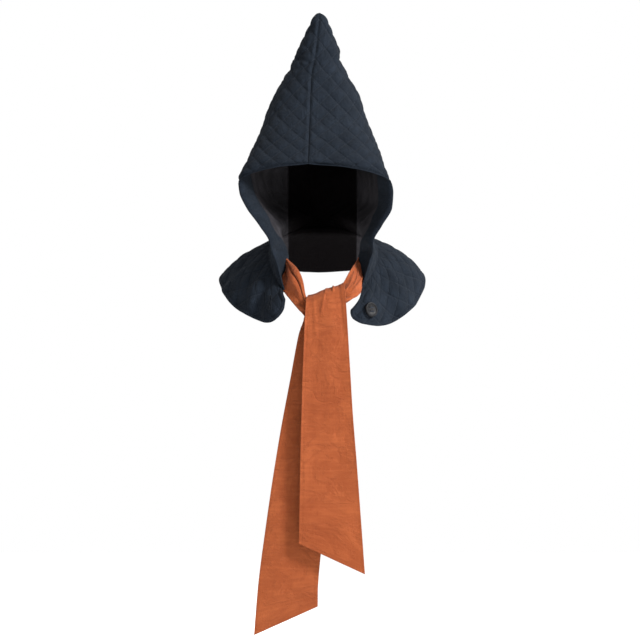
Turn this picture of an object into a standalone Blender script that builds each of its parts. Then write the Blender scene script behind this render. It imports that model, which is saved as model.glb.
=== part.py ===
"""Pointed quilted hood with a cape collar, a coat button and two sewn-in ties in a half knot.

Metres, +Z up, and the face opening looks along -Y. The origin is where the
crown of the wearer's head touches the inside of the hood.
"""

import math
from collections import namedtuple

import bmesh
import bpy
from mathutils import Matrix, Vector

# Hood, as cut and sewn
HOOD_HEIGHT = 0.417  # throat end of the face edge up to the tip
CROWN_ABOVE_THROAT = 0.2385  # the head's crown above the throat end
HALF_WIDTH = 0.120  # centre plane to the left temple
FRONT_REACH = 0.110  # middle of the brow edge, in front of the crown
BACK_REACH = 0.120  # back seam, behind the crown
FLARE_DEPTH = 0.050  # how far back the face edge's outward flare dies out
TIP_ROUNDING = 0.0015  # the sewn tip's rise above its last section

# Layers of cloth
QUILT_THICKNESS = 0.0030
LINING_THICKNESS = 0.0010
FACING_THICKNESS = 0.0010
FACING_WIDTH = 0.038
LAYER_GAP = 0.0003
SEAM_GAP = 0.0003

# Collar
COLLAR_REACH = 0.150  # centre plane to the hem over the shoulder
COLLAR_DROP = 0.053  # the front hem below the throat end
COLLAR_BACK = 0.152  # hem at the centre back, behind the crown
SEAM_ALLOWANCE = 0.0046  # collar cloth turned in under the hood's lower edge
COLLAR_CROWN = 0.006  # how far the collar bellies out between seam and hem
COLLAR_LINING_TOP = 0.45  # share of the top row of cells that the lining stays below the neck seam
COLLAR_LINING_INSET = 0.04  # share of the collar's depth that its lining stays short of the hem

# Ties
TIE_WIDTH = 0.094
TIE_THICKNESS = 0.0014
FRONT_TAIL = 0.435  # from the knot's upper fold down to the long corner
BACK_TAIL = 0.468  # from the knot's pinch down to the long corner
KNOT_DROP = 0.042  # middle of the knot below the throat end

# Button and buttonhole
BUTTON_DIAMETER = 0.0225
BUTTON_THICKNESS = 0.0042
BUTTON_RIM = 0.0022
BUTTON_DISH = 0.0010
THREAD_HOLE = 0.0021
THREAD_HOLE_SPACING = 0.0058
THREAD_DIAMETER = 0.0013
SHANK_HEIGHT = 0.0016
BUTTONHOLE_LENGTH = 0.0235
BUTTONHOLE_WIDTH = 0.0016
BUTTON_REACH = 0.076  # centre plane to the button's middle, and its drop below the throat end
BUTTON_DROP = 0.0295
BUTTONHOLE_REACH = 0.0735
BUTTONHOLE_DROP = 0.0185

# Grid of the hood: columns from the face edge to the back seam
FACING_COLUMNS = 6
WALL_COLUMNS = 7
NECK_EASE = 1.8  # how soon a tilted section rises from its front end
FRONT_POWER_TIP, FRONT_POWER_BROW = 2.0, 2.8  # roundness of the section's front quarter
BACK_POWER = 1.85
LEFT, RIGHT = -1, 1

# Heights are shares of HOOD_HEIGHT above the throat end, at the section's front and back ends.
# left, right, seam and flare are shares of HALF_WIDTH; front, wide and back are places along Y,
# shares of FRONT_REACH if negative and of BACK_REACH if positive. open is the share of the front
# quarter that the face opening takes away.
Section = namedtuple("Section", "height back_height left right seam front wide back open flare")
SECTIONS = (
    Section(0.000, 0.213, 0.636, 0.745, 0.000, -0.98, -0.05, 0.71, 0.50, 0.00),
    Section(0.101, 0.238, 0.595, 0.705, 0.000, -0.96, -0.36, 0.80, 0.72, 0.04),
    Section(0.169, 0.262, 0.615, 0.675, -0.01, -0.96, -0.72, 0.87, 1.00, 0.07),
    Section(0.230, 0.290, 0.738, 0.780, -0.03, -0.97, -0.77, 0.93, 1.00, 0.10),
    Section(0.295, 0.328, 0.900, 0.906, -0.06, -0.98, -0.79, 0.97, 1.00, 0.13),
    Section(0.349, 0.367, 0.985, 0.920, -0.09, -0.99, -0.79, 0.99, 1.00, 0.14),
    Section(0.388, 0.400, 1.000, 0.895, -0.12, -1.00, -0.78, 1.00, 1.00, 0.12),
    Section(0.4135, 0.423, 0.990, 0.860, -0.130, -1.00, -0.75, 1.00, 0.70, 0.09),
    Section(0.4317, 0.439, 0.955, 0.830, -0.134, -1.00, -0.70, 1.00, 0.45, 0.06),
    Section(0.446, 0.451, 0.920, 0.810, -0.136, -1.00, -0.65, 1.00, 0.22, 0.03),
    Section(0.457, 0.461, 0.900, 0.800, -0.137, -1.00, -0.60, 1.00, 0.00, 0.00),
    Section(0.5036, 0.5036, 0.835, 0.745, -0.131, -0.87, -0.40, 0.975, 0.00, 0.00),
    Section(0.5755, 0.5755, 0.725, 0.656, -0.122, -0.65, -0.12, 0.920, 0.00, 0.00),
    Section(0.640, 0.640, 0.650, 0.575, -0.114, -0.46, 0.06, 0.850, 0.00, 0.00),
    Section(0.705, 0.705, 0.562, 0.506, -0.106, -0.29, 0.18, 0.780, 0.00, 0.00),
    Section(0.748, 0.748, 0.475, 0.425, -0.100, -0.185, 0.24, 0.730, 0.00, 0.00),
    Section(0.7806, 0.7806, 0.412, 0.362, -0.092, -0.115, 0.27, 0.690, 0.00, 0.00),
    Section(0.7986, 0.7986, 0.352, 0.335, -0.082, -0.070, 0.285, 0.655, 0.00, 0.00),
    Section(0.813, 0.813, 0.352, 0.300, -0.070, -0.040, 0.29, 0.645, 0.00, 0.00),
    Section(0.8345, 0.8345, 0.325, 0.272, -0.055, 0.000, 0.30, 0.625, 0.00, 0.00),
    Section(0.8669, 0.8669, 0.275, 0.256, -0.038, 0.050, 0.315, 0.590, 0.00, 0.00),
    Section(0.910, 0.910, 0.200, 0.200, -0.022, 0.125, 0.325, 0.530, 0.00, 0.00),
    Section(0.953, 0.953, 0.125, 0.144, -0.008, 0.200, 0.335, 0.470, 0.00, 0.00),
    Section(0.9856, 0.9856, 0.075, 0.092, 0.004, 0.262, 0.335, 0.410, 0.00, 0.00),
    Section(1.000, 1.000, 0.030, 0.038, 0.004, 0.300, 0.335, 0.370, 0.00, 0.00),
)
BROW_HEIGHT = 0.457  # the first section that closes in front
TEMPLE_HEIGHT = 0.388
FACING_TOP = 0.5755  # the facing ends at this section, inside the brow
LINING_TOP = 0.953

# The collar's hem by its share of the way along the neck seam, from the throat to the back seam.
# reach is a share of COLLAR_REACH outwards, drop a share of COLLAR_DROP below the throat end,
# depth a place along Y as a share of COLLAR_BACK, and fold a share of COLLAR_CROWN.
Hem = namedtuple("Hem", "along reach drop depth fold")
LEFT_HEM = (
    Hem(0.00, 0.335, 0.28, -0.600, 0.0),
    Hem(0.03, 0.345, 0.49, -0.640, 0.0),
    Hem(0.06, 0.380, 0.68, -0.655, 0.0),
    Hem(0.09, 0.440, 0.87, -0.640, 0.2),
    Hem(0.12, 0.520, 0.94, -0.595, 0.3),
    Hem(0.18, 0.625, 0.83, -0.505, -0.5),
    Hem(0.24, 0.735, 0.70, -0.400, 0.5),
    Hem(0.30, 0.850, 0.48, -0.280, -0.2),
    Hem(0.38, 0.945, 0.16, -0.120, 0.3),
    Hem(0.46, 0.990, -0.12, 0.070, 0.0),
    Hem(0.54, 1.000, -0.36, 0.270, 0.3),
    Hem(0.66, 0.900, -0.60, 0.560, -0.3),
    Hem(0.78, 0.660, -0.68, 0.800, 0.4),
    Hem(0.90, 0.320, -0.60, 0.960, -0.2),
    Hem(1.00, 0.000, -0.53, 1.000, 0.0),
)
RIGHT_HEM = (
    Hem(0.00, 0.410, 0.16, -0.570, 0.0),
    Hem(0.03, 0.370, 0.32, -0.600, 0.0),
    Hem(0.06, 0.335, 0.52, -0.630, 0.0),
    Hem(0.09, 0.345, 0.76, -0.640, 0.0),
    Hem(0.12, 0.430, 0.96, -0.620, 0.2),
    Hem(0.18, 0.590, 1.02, -0.526, 0.0),
    Hem(0.24, 0.735, 0.92, -0.410, -0.5),
    Hem(0.30, 0.880, 0.66, -0.280, 0.8),
    Hem(0.38, 0.985, 0.34, -0.120, 0.2),
    Hem(0.46, 1.040, -0.02, 0.070, 1.0),
    Hem(0.54, 1.040, -0.34, 0.270, 1.2),
    Hem(0.66, 0.930, -0.60, 0.560, 0.3),
    Hem(0.78, 0.670, -0.68, 0.800, 0.4),
    Hem(0.90, 0.320, -0.60, 0.960, -0.2),
    Hem(1.00, 0.000, -0.53, 1.000, 0.0),
)
COLLAR_ROWS = (0.0, 0.16, 0.34, 0.54, 0.76, 1.0 - COLLAR_LINING_INSET, 1.0)

# The ties' two edges, row by row from the sewn end: x is a share of HALF_WIDTH, y of FRONT_REACH,
# z a share of HOOD_HEIGHT below the throat end. bulk is the gathered thickness in layers, and bow
# bellies the middle of the strip out by that share of TIE_WIDTH.
Edges = namedtuple("Edges", "ax ay az bx by bz bulk bow")
LEFT_TIE = (
    Edges(-0.521, -0.403, -0.116, -0.500, -0.475, -0.062, 1.4, 0.00),
    Edges(-0.494, -0.543, -0.102, -0.430, -0.610, -0.028, 1.4, 0.00),
    Edges(-0.262, -0.67, -0.070, -0.385, -0.68, 0.020, 1.8, 0.06),
    Edges(-0.215, -0.74, -0.030, -0.305, -0.76, 0.048, 2.0, 0.05),
    Edges(-0.170, -0.77, 0.038, -0.255, -0.79, 0.067, 2.6, 0.02),
    Edges(-0.060, -0.78, 0.058, -0.124, -0.79, 0.078, 3.0, 0.00),
    Edges(0.075, -0.79, 0.074, -0.129, -0.79, 0.096, 3.0, 0.00),
    Edges(0.095, -0.80, 0.098, -0.135, -0.80, 0.113, 2.6, 0.00),
)
RIGHT_TIE = (
    Edges(0.633, -0.403, -0.116, 0.599, -0.475, -0.062, 1.4, 0.00),
    Edges(0.600, -0.543, -0.102, 0.516, -0.610, -0.028, 1.4, 0.00),
    Edges(0.372, -0.69, -0.058, 0.462, -0.68, 0.012, 1.8, -0.06),
    Edges(0.300, -0.80, -0.024, 0.430, -0.80, 0.032, 2.0, -0.05),
    Edges(0.215, -0.86, 0.004, 0.330, -0.87, 0.050, 2.4, -0.02),
    Edges(0.100, -0.895, 0.032, 0.180, -0.90, 0.074, 2.8, 0.00),
    Edges(-0.020, -0.905, 0.056, 0.010, -0.91, 0.092, 2.8, 0.00),
    Edges(-0.112, -0.885, 0.074, -0.112, -0.885, 0.104, 2.8, 0.00),
    Edges(-0.164, -0.795, 0.083, -0.164, -0.795, 0.110, 2.8, 0.00),
    Edges(-0.112, -0.700, 0.074, -0.112, -0.700, 0.104, 2.8, 0.00),
    Edges(-0.040, -0.685, 0.058, 0.020, -0.685, 0.092, 2.8, 0.00),
    Edges(-0.070, -0.680, 0.040, 0.110, -0.680, 0.066, 2.8, 0.00),
    Edges(-0.105, -0.690, 0.022, 0.210, -0.690, 0.024, 2.6, 0.00),
    Edges(-0.130, -0.750, 0.022, 0.270, -0.750, -0.014, 2.2, 0.00),
    Edges(-0.142, -0.840, 0.026, 0.300, -0.850, -0.024, 2.0, 0.00),
    Edges(-0.156, -0.925, 0.036, 0.315, -0.940, -0.012, 1.8, 0.00),
    Edges(-0.166, -0.965, 0.062, 0.330, -0.975, 0.024, 1.5, 0.00),
)
# The hanging tails: fall is the share of the tail's length down from the knot, left and right are
# the edges as shares of TIE_WIDTH from the centre plane, depth a share of FRONT_REACH.
Tail = namedtuple("Tail", "fall left right depth bulk bow")
BACK_TAIL_ROWS = (
    Tail(0.06, -0.330, 0.290, -0.81, 2.0, 0.00),
    Tail(0.20, -0.460, 0.300, -0.82, 1.4, 0.02),
    Tail(0.36, -0.610, 0.235, -0.83, 1.0, 0.03),
    Tail(0.52, -0.740, 0.150, -0.835, 1.0, 0.03),
    Tail(0.68, -0.855, 0.065, -0.84, 1.0, 0.02),
    Tail(0.84, -0.960, -0.010, -0.84, 1.0, 0.02),
)
BACK_TAIL_CUT = (1.000, -1.040, 0.923, -0.040)  # fall and place of the left corner, then of the right one
FRONT_TAIL_ROWS = (
    Tail(0.155, -0.230, 0.455, -0.98, 1.3, 0.00),
    Tail(0.30, -0.258, 0.495, -0.985, 1.0, 0.01),
    Tail(0.46, -0.280, 0.540, -0.99, 1.0, 0.02),
    Tail(0.62, -0.298, 0.600, -0.99, 1.0, 0.02),
    Tail(0.78, -0.310, 0.655, -0.985, 1.0, 0.02),
)
FRONT_TAIL_CUT = (0.895, -0.320, 1.000, 0.730)
TIE_COLUMNS = 6
TIE_ROW_STEPS = 2

COLOURS = {
    "navy_quilting": ((0.018, 0.024, 0.034), 0.85, 0.0),
    "black_lining": ((0.010, 0.010, 0.012), 0.75, 0.0),
    "navy_facing": ((0.022, 0.028, 0.042), 0.80, 0.0),
    "rust_cotton": ((0.480, 0.125, 0.045), 0.85, 0.0),
    "dark_horn": ((0.012, 0.012, 0.014), 0.30, 0.0),
    "navy_thread": ((0.015, 0.018, 0.026), 0.70, 0.0),
}


# Small helpers


def smooth_at(keys, values, key):
    """Monotone cubic through (keys, values), read at key."""
    key = min(max(key, keys[0]), keys[-1])
    last = len(keys) - 2
    i = next((n for n in range(last) if key < keys[n + 1]), last)
    slopes = [(values[n + 1] - values[n]) / (keys[n + 1] - keys[n]) for n in range(len(keys) - 1)]

    def tangent(n):
        if n == 0:
            return slopes[0]
        if n == len(slopes):
            return slopes[-1]
        before, after = slopes[n - 1], slopes[n]
        if before * after <= 0:
            return 0.0
        return 2 * before * after / (before + after)

    step = keys[i + 1] - keys[i]
    t = (key - keys[i]) / step
    rise = values[i + 1] - values[i]
    start, end = tangent(i) * step, tangent(i + 1) * step
    return values[i] + t * start + t * t * (3 * rise - 2 * start - end) + t**3 * (start + end - 2 * rise)


def row_at(table, key):
    """The table's columns at a place between its rows, by its first column."""
    keys = [row[0] for row in table]
    columns = [smooth_at(keys, [row[n] for row in table], key) for n in range(1, len(table[0]))]
    return type(table[0])(key, *columns)


def material(name):
    """Principled material of a named colour."""
    found = bpy.data.materials.get(name)
    if found:
        return found
    colour, roughness, metallic = COLOURS[name]
    made = bpy.data.materials.new(name)
    made.use_nodes = True
    shader = made.node_tree.nodes["Principled BSDF"]
    shader.inputs["Base Color"].default_value = (*colour, 1.0)
    shader.inputs["Roughness"].default_value = roughness
    shader.inputs["Metallic"].default_value = metallic
    return made


def add_object(name, mesh, finish, collection):
    """An object of a mesh, smooth but for its sharp edges."""
    mesh.materials.append(material(finish))
    mesh.shade_smooth()
    mesh.set_sharp_from_angle(angle=math.radians(40))
    made = bpy.data.objects.new(name, mesh)
    collection.objects.link(made)
    return made


def normals_of(grid, closed_rows=()):
    """Unit normals of a grid of points, pointing out of a surface whose rows run front to back to front."""
    normals = []
    for i, row in enumerate(grid):
        below, above = grid[max(i - 1, 0)], grid[min(i + 1, len(grid) - 1)]
        count = len(row)
        line = []
        for j in range(count):
            before, after = max(j - 1, 0), min(j + 1, count - 1)
            if i in closed_rows and j in (0, count - 1):
                before, after = count - 2, 1
            across = row[after] - row[before]
            up = above[j] - below[j]
            line.append(up.cross(across).normalized())
        normals.append(line)
    return normals


def layer(name, grid, normals, near, far, finish, collection):
    """Closed wall between two depths under a grid of points: near and far are distances along -normal."""
    shape = bmesh.new()
    outer, inner = [], []
    for row, line in zip(grid, normals):
        fronts, backs = [], []
        for j, (point, normal) in enumerate(zip(row, line)):
            met = next((n for n in (0, j - 1) if 0 <= n < j and (row[n] - point).length < 1e-6), None)
            if met is None:
                fronts.append(shape.verts.new(point - normal * near))
                backs.append(shape.verts.new(point - normal * far))
            else:
                fronts.append(fronts[met])
                backs.append(backs[met])
        outer.append(fronts)
        inner.append(backs)
    partner = {}
    for i in range(len(grid)):
        partner.update(zip(outer[i], inner[i]))
        if i == 0:
            continue
        for j in range(len(grid[0]) - 1):
            for side in (outer, inner):
                corners = (side[i - 1][j], side[i - 1][j + 1], side[i][j + 1], side[i][j])
                loop = [corner for n, corner in enumerate(corners) if corner != corners[n - 1]]
                if len(loop) > 2:
                    shape.faces.new(loop if side is outer else loop[:1] + loop[:0:-1])
    for edge in [edge for edge in shape.edges if edge.is_boundary]:
        first, second = edge.verts
        if first in partner and second in partner:
            shape.faces.new((second, first, partner[first], partner[second]))
    bmesh.ops.recalc_face_normals(shape, faces=shape.faces)
    mesh = bpy.data.meshes.new(name)
    shape.to_mesh(mesh)
    shape.free()
    return add_object(name, mesh, finish, collection)


# Hood


def along_y(share):
    """Place along Y from a share of the front or the back reach."""
    return share * (FRONT_REACH if share < 0 else BACK_REACH)


def hood_height(share):
    return share * HOOD_HEIGHT - CROWN_ABOVE_THROAT


def hood_point(section, turn, side):
    """Point on the hood's outside. turn is 0 at the front seam, 1 at the widest line and 2 at the back seam."""
    seam = section.seam * HALF_WIDTH
    wide = side * (section.left if side == LEFT else section.right) * HALF_WIDTH
    flare = side * section.flare * HALF_WIDTH
    front, middle, back = (along_y(v) for v in (section.front, section.wide, section.back))
    blend = min(max(section.height / BROW_HEIGHT, 0.0), 1.0)
    if section.height > BROW_HEIGHT:
        blend = 1.0 - (section.height - BROW_HEIGHT) / (1.0 - BROW_HEIGHT)
    power = FRONT_POWER_TIP + (FRONT_POWER_BROW - FRONT_POWER_TIP) * blend
    if turn <= 1:
        angle = turn * math.pi / 2
        x = seam + (wide - seam) * math.sin(angle) ** (2 / power)
        y = middle + (front - middle) * max(math.cos(angle), 0.0) ** (2 / power)
    else:
        angle = min(turn - 1, 1.0) * math.pi / 2
        x = seam + (wide - flare - seam) * max(math.cos(angle), 0.0) ** (2 / BACK_POWER)
        y = middle + (back - middle) * math.sin(angle) ** (2 / BACK_POWER)
        x += flare * max(0.0, 1 - (y - middle) / FLARE_DEPTH) ** 2
    start_angle = min(section.open, 1.0) * math.pi / 2
    start = middle + (front - middle) * max(math.cos(start_angle), 0.0) ** (2 / power)
    share = min(max((y - start) / (back - start), 0.0), 1.0)
    rise = (section.back_height - section.height) * (1 - (1 - share) ** NECK_EASE)
    return Vector((x, y, hood_height(section.height + rise)))


def hood_row(section, side):
    """Points from the face edge or front seam to the back seam, the first ones spanning the facing."""
    samples = 120
    start = min(max(section.open, 0.0), 1.0)
    turns = [start + (2 - start) * n / samples for n in range(samples + 1)]
    fine = [hood_point(section, turn, side) for turn in turns]
    lengths = [0.0]
    for a, b in zip(fine, fine[1:]):
        lengths.append(lengths[-1] + (b - a).length)
    total = lengths[-1]
    facing = FACING_WIDTH
    if section.height > TEMPLE_HEIGHT:
        facing += next(length for turn, length in zip(turns, lengths) if turn >= 1)
    facing = min(facing, total * FACING_COLUMNS / (FACING_COLUMNS + WALL_COLUMNS) * 1.1)
    wanted = [facing * n / FACING_COLUMNS for n in range(FACING_COLUMNS)]
    wanted += [facing + (total - facing) * n / WALL_COLUMNS for n in range(WALL_COLUMNS + 1)]
    points = []
    for length in wanted:
        i = next((n for n in range(samples) if lengths[n + 1] >= length), samples - 1)
        t = (length - lengths[i]) / (lengths[i + 1] - lengths[i])
        points.append(fine[i].lerp(fine[i + 1], min(max(t, 0.0), 1.0)))
    return points


def hood_grid():
    """Rows of points round the whole hood, left front to back to right front, and their normals."""
    grid = []
    for section in SECTIONS:
        left = hood_row(section, LEFT)
        right = hood_row(section, RIGHT)
        grid.append(left + right[-2::-1])
    last = SECTIONS[-1]
    tip = Vector((last.seam * HALF_WIDTH, along_y(last.wide), hood_height(1.0) + TIP_ROUNDING))
    grid.append([tip.copy() for _ in grid[0]])
    closed = [i for i, section in enumerate(SECTIONS) if section.height >= BROW_HEIGHT]
    normals = normals_of(grid, closed)
    middle = len(grid[0]) // 2
    for i, line in enumerate(normals):
        seams = [middle]
        if i in closed:
            seams += [0, len(line) - 1]
            line[0] = line[0] + line[-1]
            line[-1] = line[0].copy()
        for j in seams:
            line[j].x = 0.0
            line[j].normalize()
    for j in range(len(normals[-1])):
        normals[-1][j] = Vector((0, 0, 1))
    return grid, normals


def rows_up_to(height):
    return sum(section.height <= height + 1e-9 for section in SECTIONS)


def part_of(grid, rows, columns):
    return [row[columns] for row in grid[:rows]]


def drawn_back(cells, side, back_seam):
    """Copy of one side's points, those on the centre seams moved off the seam by half its gap."""
    cells = [[point.copy() for point in row] for row in cells]
    front, back = (0, -1) if side == LEFT else (-1, 0)
    for i, row in enumerate(cells):
        if i == len(SECTIONS):
            ends = range(len(row))
        else:
            ends = [back] if back_seam else []
            ends += [front] if SECTIONS[i].height >= BROW_HEIGHT else []
        for j in ends:
            row[j].x += side * SEAM_GAP / 2
    return cells


def build_hood(grid, normals, collection):
    """The two quilted panels, the lining and the facing round the face."""
    middle = len(grid[0]) // 2
    spans = {"hood_panel_left": slice(0, middle + 1), "hood_panel_right": slice(middle, None)}
    for name, columns in spans.items():
        side = LEFT if name.endswith("left") else RIGHT
        panel = drawn_back(part_of(grid, len(grid), columns), side, True)
        panel_normals = part_of(normals, len(grid), columns)
        layer(name, panel, panel_normals, 0.0, QUILT_THICKNESS, "navy_quilting", collection)
    lining_rows = rows_up_to(LINING_TOP)
    near = QUILT_THICKNESS + LAYER_GAP
    whole = slice(None)
    layer(
        "hood_lining",
        part_of(grid, lining_rows, whole),
        part_of(normals, lining_rows, whole),
        near,
        near + LINING_THICKNESS,
        "black_lining",
        collection,
    )
    near += LINING_THICKNESS + LAYER_GAP
    facing_rows = rows_up_to(FACING_TOP)
    strips = {"face_facing_left": slice(0, FACING_COLUMNS + 1), "face_facing_right": slice(-FACING_COLUMNS - 1, None)}
    for name, columns in strips.items():
        side = LEFT if name.endswith("left") else RIGHT
        layer(
            name,
            drawn_back(part_of(grid, facing_rows, columns), side, False),
            part_of(normals, facing_rows, columns),
            near,
            near + FACING_THICKNESS,
            "navy_facing",
            collection,
        )


# Collar


def neck_stations(grid, normals):
    """Collar stations on one side of the neck seam: each hood column, and midway between the wide ones."""
    middle = len(grid[0]) // 2
    sides = []
    for columns in (slice(0, middle + 1), slice(None, middle - 1, -1)):
        points, lines = grid[0][columns], normals[0][columns]
        lengths = [0.0]
        for a, b in zip(points, points[1:]):
            lengths.append(lengths[-1] + (b - a).length)
        stations = []
        for j, point in enumerate(points):
            stations.append((lengths[j] / lengths[-1], point, lines[j]))
            if FACING_COLUMNS <= j < len(points) - 1:
                between = (lengths[j] + lengths[j + 1]) / 2 / lengths[-1]
                stations.append((between, point.lerp(points[j + 1], 0.5), lines[j].lerp(lines[j + 1], 0.5)))
        sides.append(stations)
    return sides


def collar_grid(grid, hood_normals):
    """Rows from the hem up to the neck seam and in under the hood, and their normals."""
    left, right = neck_stations(grid, hood_normals)
    stations = []
    for side, half, table in ((LEFT, left, LEFT_HEM), (RIGHT, right, RIGHT_HEM)):
        line = []
        for along, point, normal in half:
            row = row_at(table, along)
            throat = -CROWN_ABOVE_THROAT
            hem = Vector((side * row.reach * COLLAR_REACH, row.depth * COLLAR_BACK, throat - row.drop * COLLAR_DROP))
            seam = point - Vector((0, 0, LAYER_GAP * 4))
            line.append((seam, hem, row.fold, seam - normal.normalized() * SEAM_ALLOWANCE))
        stations += line[-2::-1] if side == RIGHT else line
    rows = [[seam.lerp(hem, share) for seam, hem, fold, tuck in stations] for share in reversed(COLLAR_ROWS)]
    normals = normals_of(rows)
    for share, row, line in zip(reversed(COLLAR_ROWS), rows, normals):
        belly = math.sin(math.pi * share)
        for j, (seam, hem, fold, tuck) in enumerate(stations):
            row[j] += line[j] * COLLAR_CROWN * (belly + fold * math.sin(math.pi * share * 0.75))
    rows.append([tuck for seam, hem, fold, tuck in stations])
    return rows, normals_of(rows)


def buttonhole_cutter(rows, collection):
    """Stadium-shaped cutter across the left flap."""
    centre, normal = flap_place(rows, -BUTTONHOLE_REACH, BUTTONHOLE_DROP)
    cutter = placed_prism(BUTTONHOLE_WIDTH, BUTTONHOLE_LENGTH, 6 * QUILT_THICKNESS)
    mesh = bpy.data.meshes.new("buttonhole_cutter")
    cutter.to_mesh(mesh)
    cutter.free()
    made = bpy.data.objects.new("buttonhole_cutter", mesh)
    made.matrix_world = facing_matrix(centre, normal)
    made.hide_render = True
    made.display_type = "WIRE"
    collection.objects.link(made)
    return made


def placed_prism(width, length, depth):
    """Slot with round ends in the XZ plane, extruded along Y through the origin."""
    shape = bmesh.new()
    steps = 6
    radius = width / 2
    outline = []
    for end, start in ((1, 0.0), (-1, math.pi)):
        for n in range(steps + 1):
            angle = start + math.pi * n / steps
            outline.append((radius * math.cos(angle), end * (length / 2 - radius) + radius * math.sin(angle)))
    face = shape.faces.new([shape.verts.new((x, -depth / 2, z)) for x, z in outline])
    grown = bmesh.ops.extrude_face_region(shape, geom=[face])
    moved = [item for item in grown["geom"] if isinstance(item, bmesh.types.BMVert)]
    bmesh.ops.translate(shape, verts=moved, vec=(0, depth, 0))
    bmesh.ops.recalc_face_normals(shape, faces=shape.faces)
    return shape


def flap_place(rows, reach, drop):
    """Point and normal of the collar where the front view has it at x = reach and drop below the throat."""
    target = (reach, -CROWN_ABOVE_THROAT - drop)
    best = None
    steps = 8
    for i in range(len(COLLAR_ROWS) - 1):
        for j in range(len(rows[0]) - 1):
            a, b, c, d = rows[i][j], rows[i][j + 1], rows[i + 1][j + 1], rows[i + 1][j]
            if a.y > 0:
                continue
            for n in range(steps * steps):
                u, v = (n % steps + 0.5) / steps, (n // steps + 0.5) / steps
                point = a.lerp(b, u).lerp(d.lerp(c, u), v)
                miss = (point.x - target[0]) ** 2 + (point.z - target[1]) ** 2
                if best is None or miss < best[0]:
                    normal = ((c + d) - (a + b)).cross((b + c) - (a + d)).normalized()
                    best = (miss, point, normal)
    return best[1], best[2]


def facing_matrix(point, normal):
    """Matrix that puts local -Y along the normal and keeps local Z as upright as it can."""
    back = -normal
    right = back.cross(Vector((0, 0, 1))).normalized()
    up = right.cross(back).normalized()
    turn = Matrix((right, back, up)).transposed().to_4x4()
    return Matrix.Translation(point) @ turn


def build_collar(rows, normals, collection, cutters):
    cutter = buttonhole_cutter(rows, cutters)
    collar = layer("collar", rows, normals, 0.0, QUILT_THICKNESS, "navy_quilting", collection)
    near = QUILT_THICKNESS + 2 * LAYER_GAP
    inset = slice(3, -4)
    points = [row[inset] for row in rows[1:-1]]
    lines = [line[inset] for line in normals[1:-1]]
    points[-1] = [a.lerp(b, COLLAR_LINING_TOP) for a, b in zip(points[-1], points[-2])]
    lines[-1] = lines[-2]
    lining = layer(
        "collar_lining",
        points,
        lines,
        near,
        near + LINING_THICKNESS,
        "black_lining",
        collection,
    )
    for piece in (collar, lining):
        cut = piece.modifiers.new("buttonhole", "BOOLEAN")
        cut.operation = "DIFFERENCE"
        cut.solver = "EXACT"
        cut.object = cutter


# Ties


def strip_grid(edges):
    """Points and normals across a strip, its rows smoothed between the given ones."""
    keys = list(range(len(edges)))
    fine = [n / TIE_ROW_STEPS for n in range((len(edges) - 1) * TIE_ROW_STEPS + 1)]
    grid, bulks, bows = [], [], []
    for key in fine:
        ends = []
        for n in (0, 1):
            ends.append(Vector([catmull_at([edge[n][axis] for edge in edges], key) for axis in range(3)]))
        bulks.append(smooth_at(keys, [edge[2] for edge in edges], key))
        bows.append(smooth_at(keys, [edge[3] for edge in edges], key))
        grid.append([ends[0].lerp(ends[1], n / TIE_COLUMNS) for n in range(TIE_COLUMNS + 1)])
    normals = normals_of(grid)
    for row, line, bow in zip(grid, normals, bows):
        for n, point in enumerate(row):
            point += line[n] * bow * TIE_WIDTH * math.sin(math.pi * n / TIE_COLUMNS)
    return grid, normals_of(grid), bulks


def catmull_at(values, key):
    """Catmull-Rom through evenly spaced values, read at key."""
    i = min(int(key), len(values) - 2)
    t = key - i
    before = values[i - 1] if i > 0 else 2 * values[0] - values[1]
    after = values[i + 2] if i + 2 < len(values) else 2 * values[-1] - values[-2]
    a, b = values[i], values[i + 1]
    return 0.5 * (
        2 * a + (b - before) * t + (2 * before - 5 * a + 4 * b - after) * t * t + (3 * a - before - 3 * b + after) * t**3
    )


def build_tie(name, rows, tail_rows, cut, tail_length, tail_top, collection):
    throat = -CROWN_ABOVE_THROAT
    edges = []
    for row in rows:
        first = Vector((row.ax * HALF_WIDTH, row.ay * FRONT_REACH, throat - row.az * HOOD_HEIGHT))
        second = Vector((row.bx * HALF_WIDTH, row.by * FRONT_REACH, throat - row.bz * HOOD_HEIGHT))
        edges.append((first, second, row.bulk, row.bow))
    left_first = name == "tie_right"
    corners = []
    for row in tail_rows:
        z = tail_top - row.fall * tail_length
        y = row.depth * FRONT_REACH
        corners.append((row.left, y, z, row.right, y, z, row.bulk, row.bow))
    depth = tail_rows[-1].depth * FRONT_REACH
    corners.append(
        (cut[1], depth, tail_top - cut[0] * tail_length, cut[3], depth, tail_top - cut[2] * tail_length, 1.0, 0.0)
    )
    for left, y1, z1, right, y2, z2, bulk, bow in corners:
        a = Vector((left * TIE_WIDTH, y1, z1))
        b = Vector((right * TIE_WIDTH, y2, z2))
        edges.append((a, b, bulk, bow) if left_first else (b, a, bulk, bow))
    grid, normals, bulks = strip_grid(edges)
    scaled = [[n * bulk for n in line] for line, bulk in zip(normals, bulks)]
    half = TIE_THICKNESS / 2
    return layer(name, grid, scaled, -half, half, "rust_cotton", collection)


def build_ties(collection):
    throat = -CROWN_ABOVE_THROAT
    knot = throat - KNOT_DROP
    build_tie("tie_left", LEFT_TIE, BACK_TAIL_ROWS, BACK_TAIL_CUT, BACK_TAIL, knot, collection)
    front_top = throat + KNOT_DROP * 0.25
    build_tie("tie_right", RIGHT_TIE, FRONT_TAIL_ROWS, FRONT_TAIL_CUT, FRONT_TAIL, front_top, collection)


# Button


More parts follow.
